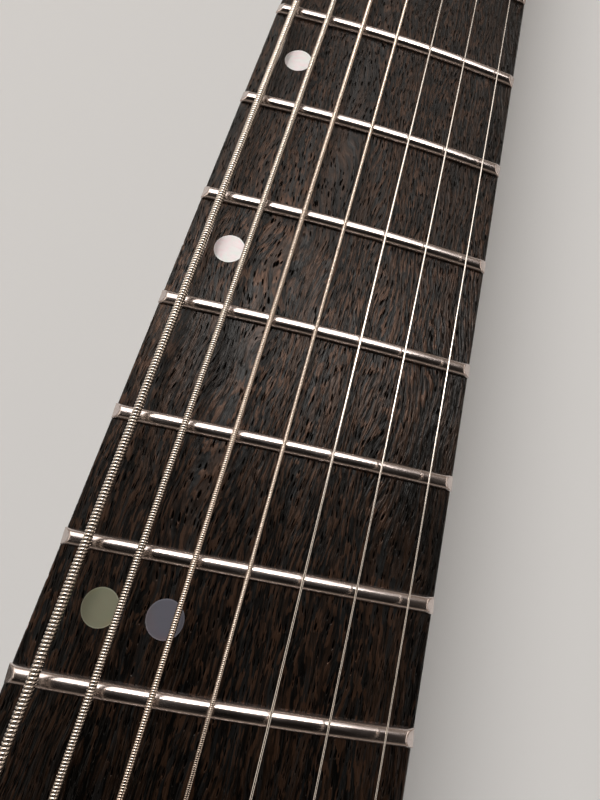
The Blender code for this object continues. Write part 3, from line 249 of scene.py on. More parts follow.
# Fret marker dots as (fret, x, shift towards the nut from midway, colour)
PALE = (0.95, 0.90, 0.90)
OLIVE = (0.250, 0.235, 0.150)
SLATE = (0.150, 0.135, 0.150)
DOTS = (
    (3, -0.0186, 0.0, PALE),
    (5, -0.0192, 0.0, PALE),
    (7, -0.0198, 0.0, PALE),
    (9, -0.02035, 0.0009, PALE),
    (12, -0.02075, 0.0008, OLIVE),
    (12, -0.01055, 0.0008, SLATE),
    (15, -0.0212, 0.0, PALE),
    (17, -0.0216, 0.0, PALE),
    (19, -0.0219, 0.0, PALE),
    (21, -0.0221, 0.0, PALE),
)


def share_of(fret):
    """Share of the scale length between the nut and a fret."""
    return 1 - 2 ** (-fret / 12)


BOARD_SLOPE = (TWELFTH_WIDTH - NUT_WIDTH) / 2 / (MEAN_SCALE * share_of(12))
BOARD_END_SHARE = share_of(FRET_COUNT) + BOARD_OVERHANG / MEAN_SCALE


def half_spread(share):
    """Half the distance between the outer strings at a share of the scale."""
    return (NUT_SPREAD + (BRIDGE_SPREAD - NUT_SPREAD) * share) / 2


def fan_slope(share):
    """How much y changes for each metre of x along a fan line."""
    return HALF_FAN * (share - share_of(SQUARE_FRET)) / half_spread(share)


def fan_y(x, share):
    """The y of the fan line of a share, at x. Share 0 is the nut and 1 the saddles."""
    return NUT_Y - MEAN_SCALE * share + fan_slope(share) * x


def board_edge(share, side):
    """The x where a fan line meets the board's edge. Side is -1 for bass, 1 for treble."""
    half = NUT_WIDTH / 2 + BOARD_SLOPE * MEAN_SCALE * share
    return side * half / (1 + side * BOARD_SLOPE * fan_slope(share))


def board_z(x):
    """Height of the fretboard's curved face."""
    return BOARD_TOP - x * x / (2 * BOARD_RADIUS)


def string_point(index, share):
    """Centre of a string where it crosses the fan line of a share, open string."""
    weight = -1 + 2 * index / (STRING_COUNT - 1)
    start = Vector((weight * half_spread(0), fan_y(weight * half_spread(0), 0)))
    end = Vector((weight * half_spread(1), fan_y(weight * half_spread(1), 1)))
    plan = start.lerp(end, share)
    rise = ACTION_NUT + (ACTION_TWELFTH - ACTION_NUT) * 2 * share
    bottom = board_z(plan.x) + FRET_HEIGHT + rise
    return Vector((plan.x, plan.y, bottom + STRING_DIAMETERS[index] / 2))


class Nodes:
    """A node tree, filled by short calls."""

    def __init__(self, tree):
        self.tree = tree

    def put(self, socket, value):
        """Link a socket, or set its value."""
        if isinstance(value, bpy.types.NodeSocket):
            self.tree.links.new(value, socket)
        else:
            socket.default_value = value

    def add(self, kind, values=None, **settings):
        """Add a node, with its settings and the values of its inputs."""
        item = self.tree.nodes.new(kind)
        for key, value in settings.items():
            setattr(item, key, value)
        for key, value in (values or {}).items():
            self.put(item.inputs[key], value)
        return item

    def node(self, kind, values=None, **settings):
        """Add a shading or maths node."""
        return self.add("ShaderNode" + kind, values, **settings)

    def calc(self, operation, a, b=0.0, c=0.0):
        """One sum of one to three values."""
        return self.node("Math", {0: a, 1: b, 2: c}, operation=operation).outputs[0]

    def plus(self, a, b):
        """Sum of two values."""
        return self.calc("ADD", a, b)

    def minus(self, a, b):
        """First value less the second."""
        return self.calc("SUBTRACT", a, b)

    def times(self, a, b):
        """Product of two values."""
        return self.calc("MULTIPLY", a, b)

    def times_plus(self, a, b, c):
        """Product of two values, with a third added."""
        return self.calc("MULTIPLY_ADD", a, b, c)

    def span(self, value, low, high, to_low=0.0, to_high=1.0):
        """A value's range carried smoothly to another range."""
        values = {0: value, 1: low, 2: high, 3: to_low, 4: to_high}
        return self.node("MapRange", values, interpolation_type="SMOOTHSTEP").outputs[0]


class Finish(Nodes):
    """A material with its nodes."""

    def __init__(self, name, **sockets):
        self.material = bpy.data.materials.new(name)
        self.material.use_nodes = True
        super().__init__(self.material.node_tree)
        self.shader = self.tree.nodes["Principled BSDF"]
        self.set(**sockets)

    def set(self, **sockets):
        """Link or set sockets of the shader, and hand back the material."""
        for key, value in sockets.items():
            self.put(self.shader.inputs[key.replace("_", " ")], value)
        return self.material

    def place(self, scale=(1, 1, 1), turn=(0, 0, 0), shift=(0, 0, 0)):
        """Object coordinates, scaled, turned and shifted for a pattern."""
        source = self.node("TexCoord").outputs["Object"]
        values = {"Vector": source, "Scale": scale, "Rotation": turn, "Location": shift}
        return self.node("Mapping", values).outputs[0]

    def noise(self, place, detail=3.0, roughness=0.5, distortion=0.0):
        """Noise between 0 and 1."""
        values = {"Vector": place, "Scale": 1.0, "Detail": detail, "Roughness": roughness}
        values["Distortion"] = distortion
        return self.node("TexNoise", values).outputs["Fac"]

    def cloud(self, scale, *settings, **placing):
        """Noise over the object's own coordinates."""
        return self.noise(self.place(scale, **placing), *settings)

    def cells(self, place, flat=False):
        """Distance to the nearest random cell point, in space or in the XY plane."""
        size = "2D" if flat else "3D"
        values = {"Vector": place, "Scale": 1.0}
        return self.node("TexVoronoi", values, voronoi_dimensions=size).outputs["Distance"]

    def mix(self, share, a, b, kind="MIX"):
        """Two colours mixed."""
        item = self.node("Mix", {0: share, 6: a, 7: b}, data_type="RGBA", blend_type=kind)
        return item.outputs[2]

    def bump(self, height, distance, strength=1.0, normal=None):
        """A bump of a height in metres, added to the one before."""
        values = {"Height": height, "Distance": distance, "Strength": strength}
        if normal is not None:
            values["Normal"] = normal
        return self.node("Bump", values).outputs[0]


def rgb(r, g, b):
    """A colour with its alpha."""
    return (r, g, b, 1.0)


def toned(colour, share, lift=0.0):
    """A colour made darker or lighter."""
    return rgb(*[c * share + lift for c in colour[:3]])


def wenge_finish(name):
    """Oiled wenge: near black with brown and slate streaks, flecks and long open pores."""
    f = Finish(name, Specular_IOR_Level=0.29)
    black, brown = rgb(0.0014, 0.0010, 0.0007), rgb(0.0215, 0.0112, 0.0064)
    rust, slate = rgb(0.054, 0.0265, 0.0145), rgb(0.0125, 0.0134, 0.0138)
    axes = f.node("SeparateXYZ", {0: f.place()}).outputs
    figure = f.cloud((34, 11, 34), 2.0, 0.5, 0.4)
    wander = f.cloud((110, 34, 110), 2.0, 0.55)
    across = f.times_plus(wander, 0.0042, f.times_plus(figure, 0.016, axes[0]))
    grain = f.node("CombineXYZ", {0: across, 1: axes[1], 2: axes[2]}).outputs[0]

    def along_grain(scale, shift):
        """The wandering grain, scaled and shifted for a pattern."""
        return f.node("Mapping", {"Vector": grain, "Scale": scale, "Location": shift}).outputs[0]

    def streaks(wide, long, shift, detail=2.0, rough=0.55):
        """Noise drawn out along the grain."""
        return f.noise(along_grain((wide, long, 40), shift), detail, rough)

    lines = streaks(1900, 95, (0, 0, 0), 3.0, 0.62)
    broad = streaks(430, 20, (4, 1, 0))
    fleck = streaks(1700, 270, (9, 3, 0), 2.0, 0.5)
    fibre = streaks(4200, 240, (2, 7, 0), 2.0, 0.6)
    grey = f.span(streaks(900, 45, (6, 2, 0)), 0.52, 0.62)
    zone = f.cloud((60, 24, 60), 2.0, shift=(1, 5, 0))
    bands = f.times_plus(broad, 0.45, f.times(lines, 0.62))
    colour = f.mix(f.span(bands, 0.50, 0.60), black, brown)
    colour = f.mix(f.times(grey, 0.75), colour, slate)
    spots = f.times(f.span(fleck, 0.525, 0.565), f.span(zone, 0.34, 0.55))
    colour = f.mix(f.times(spots, 0.8), colour, rust)
    colour = f.mix(f.times(f.span(fibre, 0.50, 0.66), 0.6), colour, black)

    def pores(wide, long, shift, size):
        """Long narrow pits scattered along the grain."""
        gap = f.cells(along_grain((wide, long, 3), shift), True)
        return f.span(f.times_plus(fibre, 0.05, gap), size, 0.05)

    pits = f.calc("MAXIMUM", pores(1300, 200, (0, 0, 0), 0.20), pores(1700, 240, (5, 2, 0), 0.14))
    pits = f.times(pits, f.span(f.cloud((150, 60, 150), 2.0), 0.32, 0.44))
    open_pore = f.span(pits, 0.08, 0.45)
    colour = f.mix(open_pore, colour, rgb(0.0010, 0.0008, 0.0007))
    rough = f.times_plus(pits, 0.4, f.times_plus(fibre, 0.1, f.span(zone, 0.3, 0.7, 0.22, 0.30)))
    relief = f.bump(fibre, 0.00008)
    relief = f.bump(lines, 0.00020, 1.0, relief)
    relief = f.bump(fleck, 0.00020, 1.0, relief)
    relief = f.bump(f.minus(1.0, pits), 0.00025, 1.0, relief)
    shine = f.times_plus(open_pore, 0.54, 0.46)
    return f.set(Base_Color=colour, Roughness=rough, Metallic=shine, Normal=relief)


def metal_finish(name, colour, roughness, wear, scale, stretch=(1, 1, 1), depth=0.000008):
    """Bright metal with faint polishing marks and slight tarnish."""
    f = Finish(name, Metallic=1.0)
    marks = f.cloud([scale * s for s in stretch], 4.0, 0.6)
    patches = f.cloud((55, 55, 55), 3.0, 0.6)
    shade = f.mix(f.span(patches, 0.35, 0.75), colour, toned(colour, 0.82))
    rough = f.span(marks, 0.25, 0.75, roughness - wear, roughness + wear)
    if depth:
        f.set(Normal=f.bump(marks, depth, 0.35))
    return f.set(Base_Color=shade, Roughness=rough)


def winding_finish(name, colour, low, high):
    """Warm nickel wrap wire, with painted shade and some tarnish darkening the grooves between its turns,
    which are duller too.
    """
    f = Finish(name, Metallic=1.0)
    groove = f.span(f.node("Attribute", attribute_name="groove").outputs["Fac"], low, high)
    patches = f.cloud((70, 25, 70), 3.0, 0.6)
    shade = f.mix(f.span(patches, 0.35, 0.75), colour, toned(colour, 0.84))
    # Painted shade, with some tarnish: the colour goes near black down in the grooves between the turns.
    shade = f.mix(groove, shade, rgb(0.030, 0.024, 0.020))
    rough = f.times_plus(groove, 0.5, f.span(patches, 0.3, 0.7, 0.14, 0.20))
    return f.set(Base_Color=shade, Roughness=rough)


def painted_finish(name, colour, roughness, grain, depth=0.00001):
    """Satin black coating or moulded plastic with a fine skin."""
    f = Finish(name)
    skin = f.cloud((grain, grain, grain), 3.0, 0.6)
    cloud = f.cloud((40, 40, 40), 3.0, 0.5)
    shade = f.mix(f.span(cloud, 0.3, 0.7), colour, toned(colour, 1.5, 0.002))
    rough = f.span(cloud, 0.3, 0.7, roughness - 0.05, roughness + 0.07)
    return f.set(Base_Color=shade, Roughness=rough, Normal=f.bump(skin, depth, 0.6))


def lacquer_finish(name):
    """Black stained ash under satin lacquer, its grain showing along the body."""
    f = Finish(name, Coat_Weight=0.5, Coat_Roughness=0.18)
    drift = f.cloud((9, 1.6, 9), 2.0)
    across = f.node("SeparateXYZ", {0: f.place()}).outputs[0]
    field = f.times_plus(across, 130.0, f.times(drift, 26.0))
    rings = f.times_plus(f.calc("SINE", field), 0.5, 0.5)
    fibre = f.cloud((700, 22, 260), 3.0, 0.6)
    open_grain = f.times(f.span(rings, 0.55, 0.95), f.span(fibre, 0.42, 0.58))
    colour = f.mix(open_grain, rgb(0.018, 0.017, 0.017), rgb(0.004, 0.004, 0.004))
    rough = f.span(fibre, 0.3, 0.7, 0.30, 0.42)
    dents = f.bump(f.minus(1.0, open_grain), 0.00007, 0.5)
    return f.set(Base_Color=colour, Roughness=rough, Normal=dents)


def neck_finish(name):
    """Oiled dark neck wood with fine straight grain."""
    f = Finish(name)
    grain = f.cloud((420, 9, 420), 3.0, 0.6)
    drift = f.cloud((22, 2.5, 22), 2.0)
    share = f.plus(f.times(grain, 0.7), f.times(drift, 0.4))
    colour = f.mix(f.span(share, 0.4, 0.72), rgb(0.030, 0.015, 0.008), rgb(0.115, 0.060, 0.030))
    pore = f.span(f.cells(f.place((1300, 90, 1300))), 0.24, 0.16)
    colour = f.mix(f.times(pore, 0.8), colour, rgb(0.010, 0.006, 0.004))
    rough = f.span(drift, 0.3, 0.7, 0.36, 0.5)
    return f.set(Base_Color=colour, Roughness=rough, Normal=f.bump(f.minus(1.0, pore), 0.00005, 0.5))


def pearl_finish(name):
    """Mother of pearl with soft coloured clouds, toned by the piece's own attribute."""
    f = Finish(name, Roughness=0.22, Coat_Weight=0.6, Coat_Roughness=0.05)
    tone = f.node("Attribute", attribute_name="tone").outputs["Color"]
    cloud = f.cloud((240, 240, 240), 3.0, 0.55, 0.8)
    layers = f.cloud((420, 900, 420), 2.0, 0.5, 1.2, turn=(0, 0, 0.6))
    warm = f.mix(f.span(cloud, 0.38, 0.62), rgb(1.0, 0.80, 0.84), rgb(0.80, 0.96, 0.90))
    tint = f.mix(f.times(f.span(layers, 0.4, 0.6), 0.5), warm, rgb(1, 1, 1))
    cool = f.span(f.cloud((170, 170, 170), 1.0, shift=(0.6, 0, 0)), 0.42, 0.60)
    dark = f.minus(1.0, f.node("SeparateColor", {0: tone}).outputs[0])
    tint = f.mix(f.times(cool, dark), tint, rgb(0.70, 0.85, 1.02))
    colour = f.mix(0.62, tone, f.mix(1.0, tone, tint, "MULTIPLY"))
    return f.set(Base_Color=colour, Normal=f.bump(layers, 0.00002, 0.3))


def floor_finish(name):
    """Plain pale studio floor."""
    f = Finish(name, Roughness=0.8)
    return f.set(Base_Color=f.mix(f.cloud((2, 2, 2), 2.0), rgb(0.83, 0.83, 0.825), rgb(0.87, 0.87, 0.865)))


FRET_METAL = metal_finish("fret_nickel", rgb(0.74, 0.66, 0.63), 0.21, 0.05, 900, (0.12, 1, 1))
# The last two numbers of a winding say where its painted groove shade starts and where it is full.
WOUND_METAL = winding_finish("wound_nickel", rgb(0.97, 0.88, 0.78), 0.10, 0.65)
FINE_WOUND_METAL = winding_finish("fine_wound_nickel", rgb(0.80, 0.68, 0.58), 0.25, 0.95)
PLAIN_METAL = metal_finish("plain_steel", rgb(0.93, 0.87, 0.80), 0.20, 0.04, 400, depth=0)
POST_METAL = metal_finish("post_steel", rgb(0.60, 0.60, 0.60), 0.22, 0.05, 600, (1, 1, 0.1))
BALL_BRASS = metal_finish("ball_brass", rgb(0.78, 0.58, 0.28), 0.25, 0.06, 500)
HARDWARE_BLACK = painted_finish("hardware_black", rgb(0.022, 0.022, 0.023), 0.34, 1200)
COVER_BLACK = painted_finish("cover_black", rgb(0.014, 0.014, 0.015), 0.42, 700, 0.00002)
NUT_BLACK = painted_finish("nut_graphite", rgb(0.022, 0.022, 0.023), 0.45, 1500)
SCREW_STEEL = metal_finish("screw_steel", rgb(0.32, 0.32, 0.33), 0.28, 0.05, 900)
POINTER_WHITE = painted_finish("pointer_white", rgb(0.75, 0.74, 0.70), 0.4, 700)
CIRCUIT_GREEN = painted_finish("circuit_green", rgb(0.02, 0.10, 0.05), 0.5, 400)
WENGE = wenge_finish("oiled_wenge")
LACQUER = lacquer_finish("black_ash_lacquer")
NECK_WOOD = neck_finish("oiled_neck_wood")
PEARL = pearl_finish("pearl")


def new_object(name, data):
    """An object in the scene that holds some data."""
    item = bpy.data.objects.new(name, data)
    bpy.context.scene.collection.objects.link(item)
    return item


def add_piece(name, mesh, finish, replaces=(), body="root"):
    """Make a mesh a piece of the guitar that rides on a body."""
    piece = new_object(name, mesh)
    if finish is not None:
        mesh.materials.clear()
        mesh.materials.append(finish)
    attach(piece, body)
    if replaces:
        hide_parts(*replaces)
    return piece


def shade_by_angle(mesh, degrees):
    """Smooth faces with sharp edges kept."""
    mesh.shade_smooth()
    mesh.set_sharp_from_angle(angle=math.radians(degrees))


def mesh_of(name, shape):
    """The mesh of a worked shape."""
    mesh = bpy.data.meshes.new(name)
    shape.to_mesh(mesh)
    shape.free()
    return mesh


def closed_mesh(name, shape, degrees):
    """The mesh of a closed shape, its faces outwards and smooth up to an angle."""
    bmesh.ops.recalc_face_normals(shape, faces=shape.faces)
    mesh = mesh_of(name, shape)
    shade_by_angle(mesh, degrees)
    return mesh


def outward(mesh):
    """Turn a closed mesh's faces outwards."""
    shape = bmesh.new()
    shape.from_mesh(mesh)
    bmesh.ops.recalc_face_normals(shape, faces=shape.faces)
    shape.to_mesh(mesh)
    shape.free()


def worked_mesh(item):
    """The plain mesh of an object with its modifiers. The object goes."""
    bpy.context.view_layer.update()
    graph = bpy.context.evaluated_depsgraph_get()
    mesh = bpy.data.meshes.new_from_object(item.evaluated_get(graph), depsgraph=graph)
    bpy.data.objects.remove(item)
    return mesh


def angles(sides):
    """Even angles round a circle."""
    return [2 * math.pi * i / sides for i in range(sides)]


def band(shape, low, high):
    """Faces between two rings of a shape's points. A ring may be a single point."""
    sides = max(len(low), len(high))
    faces = []
    for i in range(sides):
        j = (i + 1) % sides
        corners = [low[i % len(low)], low[j % len(low)], high[j % len(high)], high[i % len(high)]]
        faces.append(shape.faces.new(list(dict.fromkeys(corners))))
    return faces


def lofted(name, rings, degrees, hoop=False):
    """A closed mesh over rings of points, with capped ends or joined as a hoop."""
    shape = bmesh.new()
    rings = [[shape.verts.new(spot) for spot in ring] for ring in rings]
    caps = [] if hoop else [rings[0][::-1], rings[-1]]
    for low, high in zip(rings, rings[1:] + (rings[:1] if hoop else [])):
        band(shape, low, high)
    for cap in caps:
        if len(cap) > 1:
            shape.faces.new(cap)
    return closed_mesh(name, shape, degrees)


def joined(name, meshes):
    """Several meshes as one."""
    shape = bmesh.new()
    for mesh in meshes:
        shape.from_mesh(mesh)
        bpy.data.meshes.remove(mesh)
    return mesh_of(name, shape)


def at(place):
    """Placement of an upright axis that starts at a place."""
    return Matrix.Translation(place)


def facing(place, direction):
    """Placement of an axis that starts at a place and points in a direction."""
    return at(place) @ Vector(direction).to_track_quat("Z", "Y").to_matrix().to_4x4()


def hexagon(flat):
    """Radius of a hexagon by angle, from half its width across flats."""
    return lambda angle: flat / math.cos((angle + math.pi / 6) % (math.pi / 3) - math.pi / 6)


def waved(radius, depth, count):
    """Radius of a knurled or toothed rim by angle."""
    return lambda angle: radius - depth * (0.5 - 0.5 * math.cos(count * angle))


def turned(name, profile, place, sides=48, degrees=35, hoop=False):
    """A body from (radius, height) pairs about the Z axis of place, or a hoop round it."""
    rings = []
    for radius, height in profile:
        ring = []
        for angle in angles(sides) if radius else [0]:
            reach = radius(angle) if callable(radius) else radius
            ring.append(place @ Vector((reach * math.cos(angle), reach * math.sin(angle), height)))
        rings.append(ring)
    return lofted(name, rings, degrees, hoop)


def screw(place, radius, height):
    """Round screw head with a hexagonal socket, standing on the XY plane of place."""
    socket = hexagon(radius * 0.42)
    profile = [
        (0, -radius * 0.3), (radius, -radius * 0.3), (radius, height * 0.35), (radius * 0.88, height * 0.8),
        (radius * 0.68, height), (socket, height), (socket, height * 0.1), (0, height * 0.1),
    ]
    return turned("screw", profile, place, 24, 30)


def flowing(points, steps):
    """Points along a smooth curve through the given ones."""
    points = [np.array(point, float) for point in points]
    full = [2 * points[0] - points[1], *points, 2 * points[-1] - points[-2]]
    out = []
    for a, b, c, d in zip(full, full[1:], full[2:], full[3:]):
        for t in np.arange(steps) / steps:
            bend = (2 * a - 5 * b + 4 * c - d) * t * t
            out.append(0.5 * (2 * b + (c - a) * t + bend + (3 * b - 3 * c + d - a) * t ** 3))
    return out + [points[-1]]


def make_board():
    """Fretboard: curved face, eased edges, straight sides and slanted ends."""
    rings = []
    for share in np.linspace(0, BOARD_END_SHARE, BOARD_ROWS):
        left, right = board_edge(share, -1), board_edge(share, 1)
        ends = []
        for side, edge in ((-1, left), (1, right)):
            end = [(edge, BOARD_TOP - BOARD_THICKNESS)]
            for i in range(EASE_STEPS):
                angle = math.radians(90 * i / EASE_STEPS)
                x = edge - side * BOARD_EASE * (1 - math.cos(angle))
                drop = BOARD_EASE * (1 - math.sin(angle))
                end.append((x, board_z(edge - side * BOARD_EASE) - drop))
            ends.append(end)
        inner = np.linspace(left + BOARD_EASE, right - BOARD_EASE, BOARD_COLUMNS)
        ring = ends[0] + [(x, board_z(x)) for x in inner] + ends[1][::-1]
        rings.append([(x, fan_y(x, share), z) for x, z in ring])
    add_piece("fretboard_piece", lofted("fretboard", rings, 40), WENGE, ("fretboard",))


def fret_rings(number):
    """Rings of one fret along its length, its ends cut back in a rounded bevel."""
    share = share_of(number)
    slope = fan_slope(share)
    length = math.hypot(1, slope)
    across = np.array((-slope / length, 1 / length))
    left, right = board_edge(share, -1), board_edge(share, 1)
    stations = [(left + cut, cut) for cut in END_CUTS]
    stations += [(x, 1.0) for x in np.linspace(left + END_REACH, right - END_REACH, FRET_STATIONS)]
    stations += [(right - cut, cut) for cut in END_CUTS[::-1]]
    rings = []
    for x, inward in stations:
        base = np.array((x, fan_y(x, share)))
        cap = END_FOOT + END_SLOPE * inward
        ring = []
        for i in range(FRET_STEPS + 1):
            angle = math.pi * i / FRET_STEPS
            c, s = math.cos(angle), math.sin(angle)
            offset = FRET_WIDTH / 2 * math.copysign(abs(c) ** FRET_SQUARENESS, c)
            spot = base + across * offset
            height = FRET_HEIGHT * s ** FRET_CROWN
            height = -math.log(math.exp(-height * END_CREASE) + math.exp(-cap * END_CREASE)) / END_CREASE
            ring.append((*spot, board_z(x) + max(height, 0.0)))
        for side in (-1, 1):
            spot = base + across * side * FRET_WIDTH / 2 * FRET_FOOT
            ring.append((*spot, board_z(x) - FRET_SEAT))
        rings.append(ring)
    return rings


def make_frets():
    """All the frets, pressed down on the board."""
    numbers = range(1, FRET_COUNT + 1)
    mesh = joined("frets", [lofted(f"fret_{n}", fret_rings(n), 50) for n in numbers])
    add_piece("frets_piece", mesh, FRET_METAL, [f"fret_{n:02d}" for n in numbers])


def inlay(shape, levels, radius, sides, spot, order, colour, rim_highlight_colour):
    """A closed round inlay in the board. Its wall and its first band are the rim, painted lighter as a
    highlight.

    Levels are (share of the radius, lift) pairs, and spot gives the point for two offsets
    from the inlay's middle and a lift. Order is 1 where spot mirrors them, or else -1.
    """
    tone = shape.loops.layers.float_color["tone"]
    rings = []
    for share, lift in levels:
        ring = []
        for angle in angles(sides):
            u, v = radius * share * math.cos(angle), radius * share * math.sin(angle)
            ring.append(shape.verts.new(spot(u, v, lift)))
        rings.append(ring)
    groups = [[shape.faces.new(rings[0][::order])]]
    groups += [band(shape, low, high) for low, high in zip(rings, rings[1:])]
    groups.append([shape.faces.new(rings[-1])])
    for level, group in enumerate(groups):
        paint = rim_highlight_colour if level < 3 else colour
        for face in group:
            for loop in face.loops:
                loop[tone] = (*paint, 1)


def make_dots():
    """Round inlays that follow the board's curve, each with a thin rim painted lighter as a highlight."""
    shape = bmesh.new()
    shape.loops.layers.float_color.new("tone")
    levels = [(1.0, -DOT_DEPTH), (1.0, DOT_RISE), (1 - DOT_RIM / DOT_RADIUS, DOT_RISE)]
    levels += [(share, DOT_RISE) for share in (0.93, 0.6, 0.3)]
    for fret, x, shift, colour in DOTS:
        y = (fan_y(x, share_of(fret - 1)) + fan_y(x, share_of(fret))) / 2 + shift

        def spot(u, v, lift):
            """A point of the dot, which follows the board's face."""
            return x + u, y + v, board_z(x + u) + lift

        # Painted highlight: the rim is a lighter copy of the dot's colour.
        rim = [min(1, c * RIM_HIGHLIGHT_GAIN + RIM_HIGHLIGHT_LIFT) for c in colour]
        inlay(shape, levels, DOT_RADIUS, DOT_SIDES, spot, -1, colour, rim)
    add_piece("fret_dots", closed_mesh("fret_dots", shape, 30), PEARL)


def make_side_dots():
    """Small pearl dots along the board's bass edge, for the player."""
    shape = bmesh.new()
    shape.loops.layers.float_color.new("tone")
    marks = [(fret, 0.0) for fret in (3, 5, 7, 9, 15, 17, 19, 21)]
    marks += [(12, SIDE_DOT_STEP), (12, -SIDE_DOT_STEP)]
    levels = [(1.0, -SIDE_DOT_DEPTH)] + [(share, DOT_RISE) for share in (1.0, 0.75, 0.5, 0.25)]
    for fret, shift in marks:
        share = (share_of(fret - 1) + share_of(fret)) / 2 + shift
        edge = board_edge(share, -1)
        top = board_z(edge + BOARD_EASE)
        middle = Vector((edge, fan_y(edge, share), top - SIDE_DOT_RADIUS - SIDE_DOT_DROP))

        def spot(u, v, lift):
            """A point of the dot, which follows the board's side and its eased edge."""
            y, z = middle.y + u, middle.z + v
            over = min(max((z - (top - BOARD_EASE)) / BOARD_EASE, 0.0), 1.0)
            inset = BOARD_EASE * (1 - math.sqrt(1 - over * over))
            wall = board_edge((NUT_Y - y + fan_slope(share) * edge) / MEAN_SCALE, -1)
            return wall + inset - lift, y, z

        inlay(shape, levels, SIDE_DOT_RADIUS, SIDE_DOT_SIDES, spot, 1, PALE, PALE)
    add_piece("side_dots", closed_mesh("side_dots", shape, 40), PEARL)


def post_place(index):
    """Centre of a tuner post."""
    return POST_FIRST.lerp(POST_LAST, index / (STRING_COUNT - 1))


def string_route(index):
    """Centre points of a string from its ball over saddle and nut and round its post."""
    diameter = STRING_DIAMETERS[index]
    saddle, nut = string_point(index, 1), string_point(index, 0)
    ball_end = WALL_FROM + WALL_THICKNESS + CLEAR
    points = []
    for back in (ball_end + BALL_LENGTH / 2, ball_end, WALL_FROM):
        points.append(Vector((saddle.x, saddle.y - back, PLATE_TOP + CLEAR + BALL_RADIUS)))
    rear = points[-1]
    points += [rear.lerp(saddle, share) for share in RAMP_SHARES]
    points += [saddle.lerp(nut, i / OPEN_STEPS) for i in range(OPEN_STEPS + 1)]
    run = (nut - saddle).to_2d().normalized()
    beyond = nut + Vector((*(run * NUT_THICKNESS), 0))
    points.append(beyond)
    post = post_place(index)
    reach = POST_RADIUS + CLEAR + diameter / 2

    def turn_point(step):
        """A point of the turns round the post, which climb a little."""
        angle = math.atan2(-run.x, run.y) + 2 * math.pi * step / TURN_STEPS
        height = HEAD_FACE + WIND_HEIGHT + (diameter + WIND_GAP) * step / TURN_STEPS
        return Vector((post.x + reach * math.cos(angle), post.y + reach * math.sin(angle), height))

    points += [beyond.lerp(turn_point(0), i / RUN_STEPS) for i in range(1, RUN_STEPS)]
    points += [turn_point(step) for step in range(int(WIND_TURNS * TURN_STEPS) + 1)]
    points.append(points[-1] + (points[-1] - points[-2]).normalized() * diameter)
    return points


class Tree(Nodes):
    """A geometry node tree with named inputs."""

    def __init__(self, name, inputs):
        super().__init__(bpy.data.node_groups.new(name, "GeometryNodeTree"))
        socket = self.tree.interface.new_socket
        for label, kind in (("Geometry", "Geometry"), *inputs):
            socket(label, in_out="INPUT", socket_type="NodeSocket" + kind)
        socket("Geometry", in_out="OUTPUT", socket_type="NodeSocketGeometry")
        self.start, self.end = self.add("NodeGroupInput"), self.add("NodeGroupOutput")

    def given(self, label):
        """One of the tree's named inputs."""
        return self.start.outputs[label]

    def step(self, kind, values=None, **settings):
        """Add a geometry node, and hand back its first output."""
        return self.add("GeometryNode" + kind, values, **settings).outputs[0]

    def vector(self, operation, a, b=(0, 0, 0), scale=1.0):
        """One sum of vectors."""
        return self.node("VectorMath", {0: a, 1: b, 3: scale}, operation=operation).outputs[0]

    def finish(self, geometry):
        """Smooth what the tree made, realize it and give it its material."""
        smooth = self.step("SetShadeSmooth", {"Geometry": geometry})
        real = self.step("RealizeInstances", {0: smooth})
        painted = self.step("SetMaterial", {"Geometry": real, "Material": self.given("Finish")})
        self.put(self.end.inputs[0], painted)
        return self.tree


def run_tree(name, data, tree, values):
    """Run a tree on some data with named inputs, and hand back the plain mesh."""
    maker = new_object(name, data)
    step = maker.modifiers.new(name, "NODES")
    step.node_group = tree
    for item in tree.interface.items_tree:
        if item.in_out == "INPUT" and item.name in values:
            step[item.identifier] = values[item.name]
    return worked_mesh(maker)


